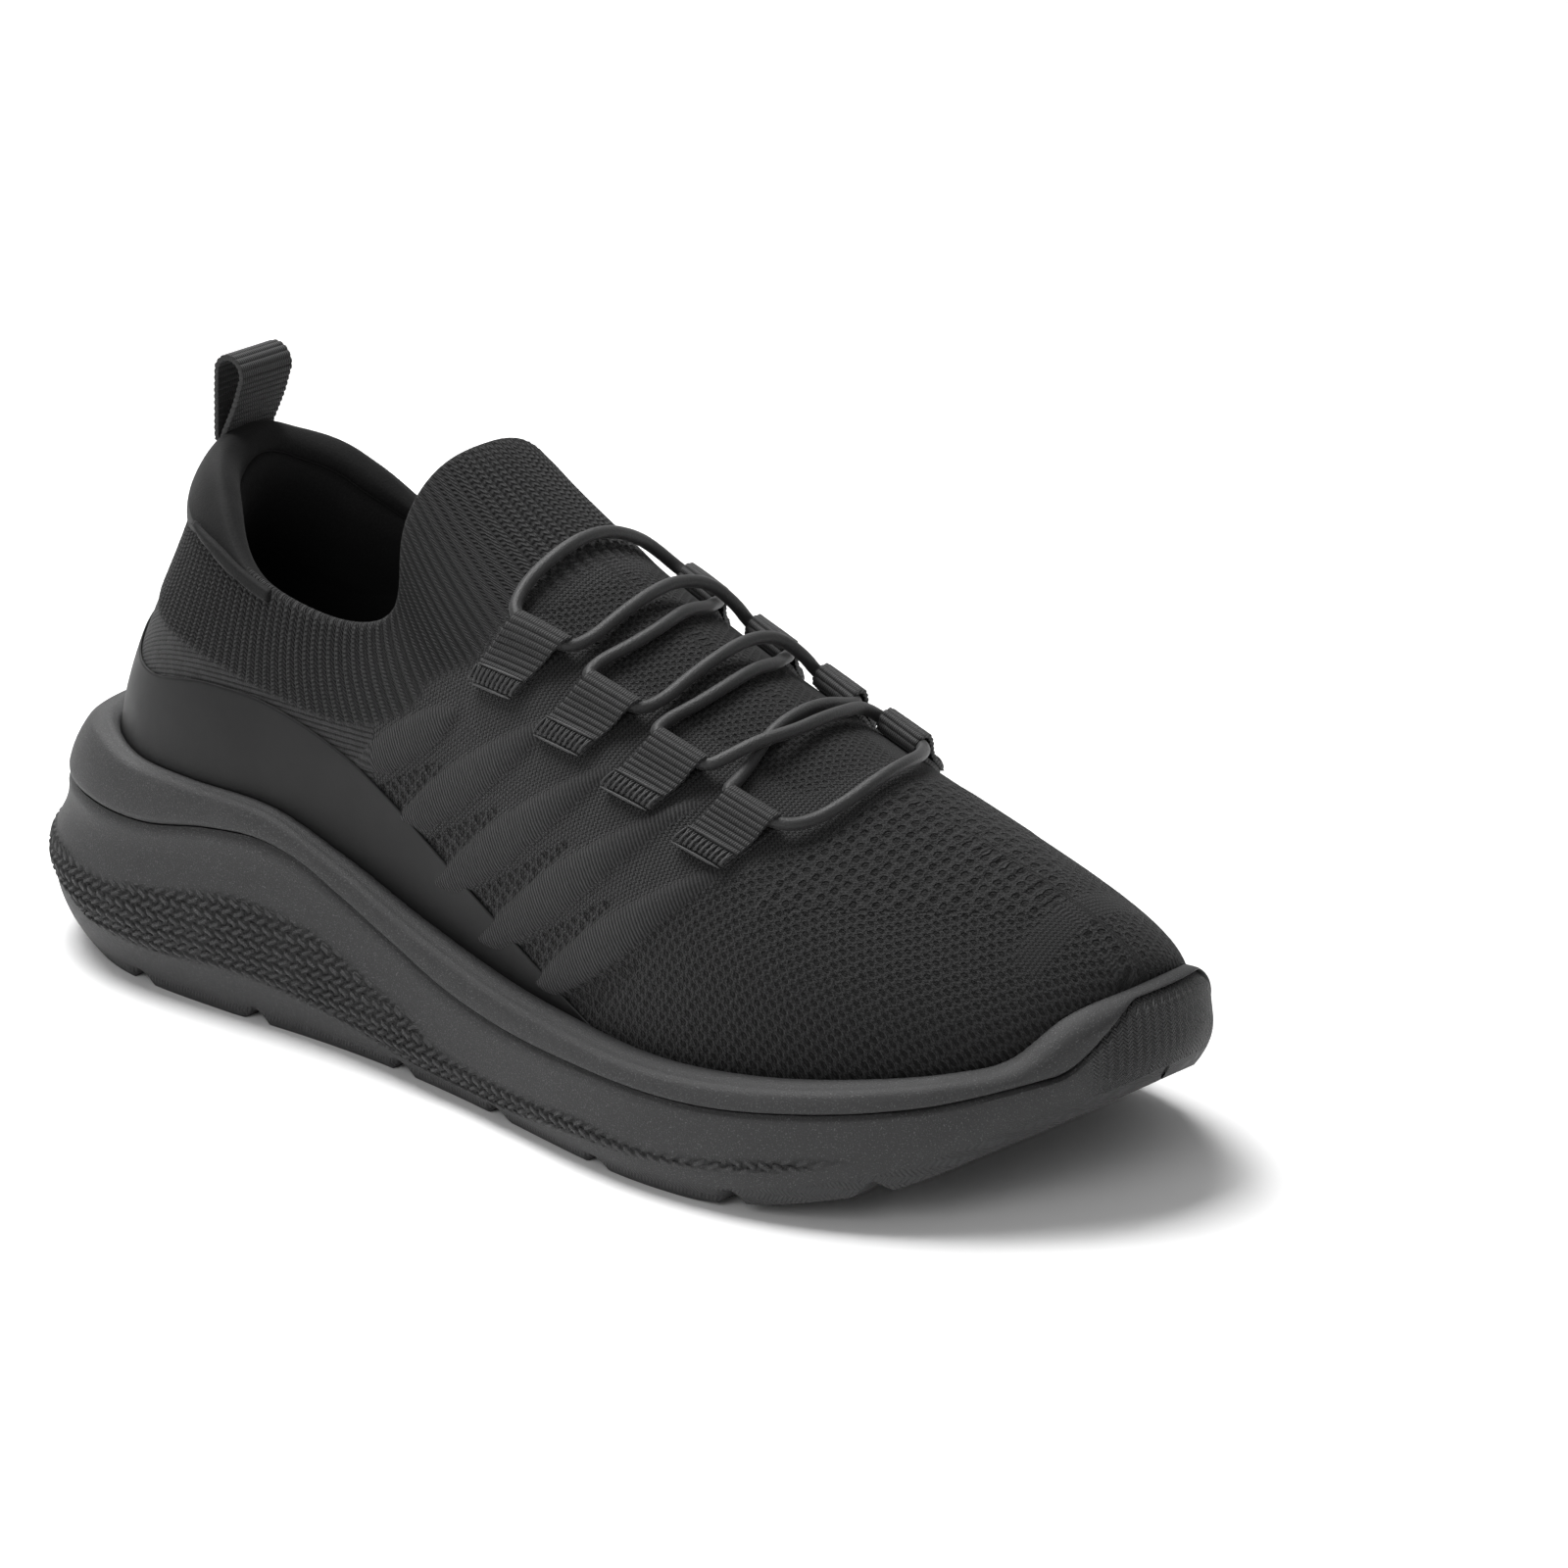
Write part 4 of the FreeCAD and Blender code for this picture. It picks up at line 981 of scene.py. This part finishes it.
thread_finish, thread_skin, thread = finish("black_thread", grey(0.030), 0.5, sheen=0.1, specular=0.4)
emboss(thread_skin, thread, thread.noise(0.25) * 0.06)
ZIGZAG, BORDER = 19, 2
stitch_pieces = []
bpy.ops.object.select_all(action="DESELECT")
bpy.ops.mesh.primitive_uv_sphere_add(segments=10, ring_count=8, radius=1)
stitch = bpy.context.object
stitch_shape = points(stitch)
for outward, eye_station, eye_level in tacks:
    down = MEDIAL * outward
    aside = (np.arange(ZIGZAG) - 9) * 0.64
    slant = np.where(np.arange(ZIGZAG) % 2, 0.55, -0.55)
    low = walk(*walk(eye_station, eye_level, FORWARD, aside), down, STRAP_LENGTH - 3.1)
    high = walk(*walk(eye_station, eye_level, FORWARD, aside + slant), down, STRAP_LENGTH + 0.4)
    border = np.array([STRAP_LENGTH - 3.5, STRAP_LENGTH + 0.8])
    border_proud = np.array([2.6, 1.9])
    left = walk(*walk(eye_station, eye_level, FORWARD, np.full(BORDER, -6.4)), down, border)
    right = walk(*walk(eye_station, eye_level, FORWARD, np.full(BORDER, 6.4)), down, border)
    starts = np.concatenate([over_last(*low, np.full(ZIGZAG, 2.5)), over_last(*left, border_proud)])
    ends = np.concatenate([over_last(*high, np.full(ZIGZAG, 2.15)), over_last(*right, border_proud)])
    normals = np.concatenate([last_frame(*low)[0], last_frame(*left)[0]])
    for a, b, normal in zip(starts, ends, normals):
        way = b - a
        long = np.linalg.norm(way)
        way /= long
        flat = np.cross(normal, way)
        flat /= np.linalg.norm(flat)
        over = np.cross(way, flat)
        copy = stitch.copy()
        copy.data = stitch.data.copy()
        bpy.context.collection.objects.link(copy)
        put_points(copy, (a + b) / 2 + stitch_shape[:, :1] * way * long / 2
                   + stitch_shape[:, 1:2] * flat * 0.32 + stitch_shape[:, 2:] * over * 0.50)
        stitch_pieces.append(copy)
bpy.data.objects.remove(stitch)
bpy.ops.object.select_all(action="DESELECT")
for copy in stitch_pieces:
    copy.select_set(True)
bpy.context.view_layer.objects.active = stitch_pieces[0]
bpy.ops.object.join()
tack = bpy.context.object
tack.name = tack.data.name = "bar_tack_stitches"
bpy.ops.object.mode_set(mode="EDIT")
bpy.ops.mesh.select_all(action="SELECT")
bpy.ops.mesh.normals_make_consistent(inside=False)
bpy.ops.object.mode_set(mode="OBJECT")
smooth(tack)
dress(tack, thread_finish)
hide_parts("bar_tacks")
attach(tack, "rearfoot")

# ------------------------------------------------------------------ elastic
# One round braided elastic through all eight loops. Between rows its strands cross, one under
# the other. Its ends meet inside the first lateral loop.

LACE_ROUTE = [
    (5.8, -25.2, 98.7), (-0.6, -26.5, 100.9), (-3.4, -20.5, 105.2), (-3.6, -12, 109.2), (-3, -3, 111.9),
    (-3, 6, 111.5), (-3.4, 14, 108.4), (-3.8, 20.5, 104.5), (-0.9, 27.2, 97.5), (12.3, 24.4, 94.7),
    (14.9, 19, 96), (18.9, 12.5, 97.8), (20.3, 4, 99.8), (21.5, -5, 98.5), (19.9, -13.5, 96),
    (18, -20.5, 94.2), (18.9, -26.1, 92.2), (31.7, -24.1, 87.6), (33.2, -18, 88.5), (33.7, -10, 91.6),
    (34.1, -1, 94.2), (33.9, 8, 95.3), (34.5, 16.5, 94), (36.7, 22.6, 88.6), (37.1, 26.7, 83.4),
    (50.5, 24.7, 80.6), (51.4, 19, 82.2), (52.9, 11, 84.9), (53.7, 2, 85.8), (53.5, -7, 83.9),
    (55, -14.8, 80), (56, -20.8, 77.2), (56.8, -25.8, 76.2), (69.8, -24.2, 71.6), (73.8, -18, 71.9),
    (76.2, -10, 74.6), (77, -1, 77.3), (76.2, 8, 78), (73.4, 16.5, 76.6), (68.1, 24.8, 75.1),
    (54.7, 26.8, 77.7), (54.4, 20.4, 82), (56.7, 12.5, 83.7), (58.1, 3.5, 84.8), (57.9, -5.5, 84.3),
    (55.8, -13.5, 84), (52.6, -20.5, 81.3), (50.2, -24.2, 79.6), (37.4, -26, 84.2), (36.5, -20.5, 85.8),
    (38.4, -13.5, 87.6), (40, -5, 90.2), (39.6, 4, 91.4), (38.2, 12.5, 89.8), (34.2, 19, 88.3),
    (31.6, 24.4, 87.1), (18.4, 26.8, 90.1), (18, 22.6, 95.7), (15.8, 16.5, 101.7), (14.4, 8, 103.8),
    (14.6, -1, 103.2), (14.2, -10, 100.6), (13.7, -18, 97.5), (12.2, -23.9, 96.5), (6.2, -25.1, 98.6),
]
lace_line = bpy.data.curves.new("elastic", "CURVE")
lace_line.dimensions = "3D"
run = lace_line.splines.new("NURBS")
run.points.add(len(LACE_ROUTE) - 1)
for point, (px, py, pz) in zip(run.points, LACE_ROUTE):
    point.co = (px * MM, py * MM, pz * MM, 1)
run.order_u = 3
run.use_endpoint_u = True
run.resolution_u = 8
lace_line.bevel_depth = 1.4 * MM
lace_line.bevel_resolution = 5
lace_line.use_fill_caps = True
elastic = bpy.data.objects.new("elastic", lace_line)
bpy.context.collection.objects.link(elastic)
pick(elastic)
bpy.ops.object.convert(target="MESH")
elastic = bpy.context.object
smooth(elastic)
cord_finish, cord_skin, braid = finish("braided_elastic", grey(0.020), 0.5, sheen=0.1, specular=0.4)
emboss(cord_skin, braid, braid.noise(0.35, 2.0) * 0.14)
lay(cord_skin, braid, "Base Color", braid.noise(0.5).mix(grey(0.014), grey(0.028)))
dress(elastic, cord_finish)
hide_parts("elastic_lace")
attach(elastic, "rearfoot")

# ------------------------------------------------------------------ heel pull loop
# A loop of ribbed webbing standing on the back of the collar. Both ends are sewn under the knit.

PULL_CENTRE, PULL_RADIUS, PULL_WIDTH = (-99.0, 129.1), 3.7, 15.0
dress(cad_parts["heel_pull_anchor"], webbing_finish)
pull_line = [(-103.0, 113.6), (-103.1, 116.5), (-103.0, 120), (-102.9, 124.5)]
for degrees in range(170, -31, -20):
    pull_line.append((PULL_CENTRE[0] + PULL_RADIUS * math.cos(math.radians(degrees)),
                      PULL_CENTRE[1] + PULL_RADIUS * math.sin(math.radians(degrees))))
pull_line += [(-97.3, 123), (-99.4, 118.6), (-101.0, 115.4), (-101.6, 113.6)]
dense = open_line(pull_line, np.linspace(0, 1, 800))
dense_run = np.r_[0, np.cumsum(np.linalg.norm(np.diff(dense, axis=0), axis=1))]
pull, across, up = grid("heel_pull", 14, int(dense_run[-1] / 0.23))
run = up * dense_run[-1]
bend = np.stack([np.gradient(dense[:, 1]), -np.gradient(dense[:, 0])], -1)
bend /= np.linalg.norm(bend, axis=1)[:, None]
rib = 0.16 * np.cos(2 * math.pi * run / 1.4)
px = np.interp(run, dense_run, dense[:, 0]) - np.interp(run, dense_run, bend[:, 0]) * rib
pz = np.interp(run, dense_run, dense[:, 1]) - np.interp(run, dense_run, bend[:, 1]) * rib
put_points(pull, np.stack([px, (across - 0.5) * PULL_WIDTH, pz], 1))
keep_map(pull, "tape", (across - 0.5) * PULL_WIDTH, run)
apply_modifier(pull, "SOLIDIFY", thickness=1.1 * MM, offset=0)
apply_modifier(pull, "BEVEL", width=0.2 * MM, segments=2, limit_method="ANGLE",
               angle_limit=math.radians(60))
smooth(pull)
dress(pull, webbing_finish)
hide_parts("heel_pull_loop")
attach(pull, "heel_loop")

# ------------------------------------------------------------------ floor, light and camera
# A pale floor, a soft key light from above and behind, and two weak lights from the back and front.

bpy.ops.object.select_all(action="DESELECT")
bpy.ops.mesh.primitive_plane_add(size=6, location=(0, 0, 0))
floor_plane = bpy.context.object
floor_plane.name = "floor"
floor_finish, floor_skin, plain = finish("pale_floor", (0.97, 0.97, 0.97, 1), 0.9, specular=0.1)
lay(floor_skin, plain, "Roughness", plain.noise(40) * 0.1 + 0.85)
dress(floor_plane, floor_finish)

world = bpy.data.worlds.new("studio")
bpy.context.scene.world = world
world.use_nodes = True
world.node_tree.nodes["Background"].inputs["Color"].default_value = (1, 1, 1, 1)
world.node_tree.nodes["Background"].inputs["Strength"].default_value = 0.27


def softbox(name, place, aim, size, power):
    bpy.ops.object.light_add(type="AREA", location=place)
    light = bpy.context.object
    light.name = name
    light.data.shape = "RECTANGLE"
    light.data.size = size[0]
    light.data.size_y = size[1]
    light.data.energy = power
    light.rotation_euler = (Vector(aim) - Vector(place)).to_track_quat("-Z", "Y").to_euler()


softbox("key", (-0.35, 0.0, 1.15), (0, 0, 0.05), (0.8, 0.6), 19)
softbox("back_left", (-0.9, 0.35, 0.6), (0, 0, 0.06), (0.6, 0.5), 3)
softbox("front", (0.3, -1.1, 0.7), (0, 0, 0.05), (0.8, 0.6), 4)

bpy.context.scene.view_settings.view_transform = "Standard"
bpy.context.scene.view_settings.look = "None"

AZIMUTH, ELEVATION, DISTANCE = math.radians(42), math.radians(21.5), 1.9
back = Vector((math.sin(AZIMUTH) * math.cos(ELEVATION), -math.cos(AZIMUTH) * math.cos(ELEVATION),
               math.sin(ELEVATION)))
right = Vector((math.cos(AZIMUTH), math.sin(AZIMUTH), 0))
above_view = back.cross(right)
eye = bpy.data.cameras.new("camera")
eye.lens = 205.875
eye.sensor_width = 36
camera = bpy.data.objects.new("camera", eye)
bpy.context.collection.objects.link(camera)
camera.location = back * DISTANCE
# The lens is turned a little off the shoe, which sits low and to the left in the frame.
aim = -back + right * 0.020437 + above_view * 0.028415
camera.rotation_euler = aim.to_track_quat("-Z", "Y").to_euler()
bpy.context.scene.camera = camera
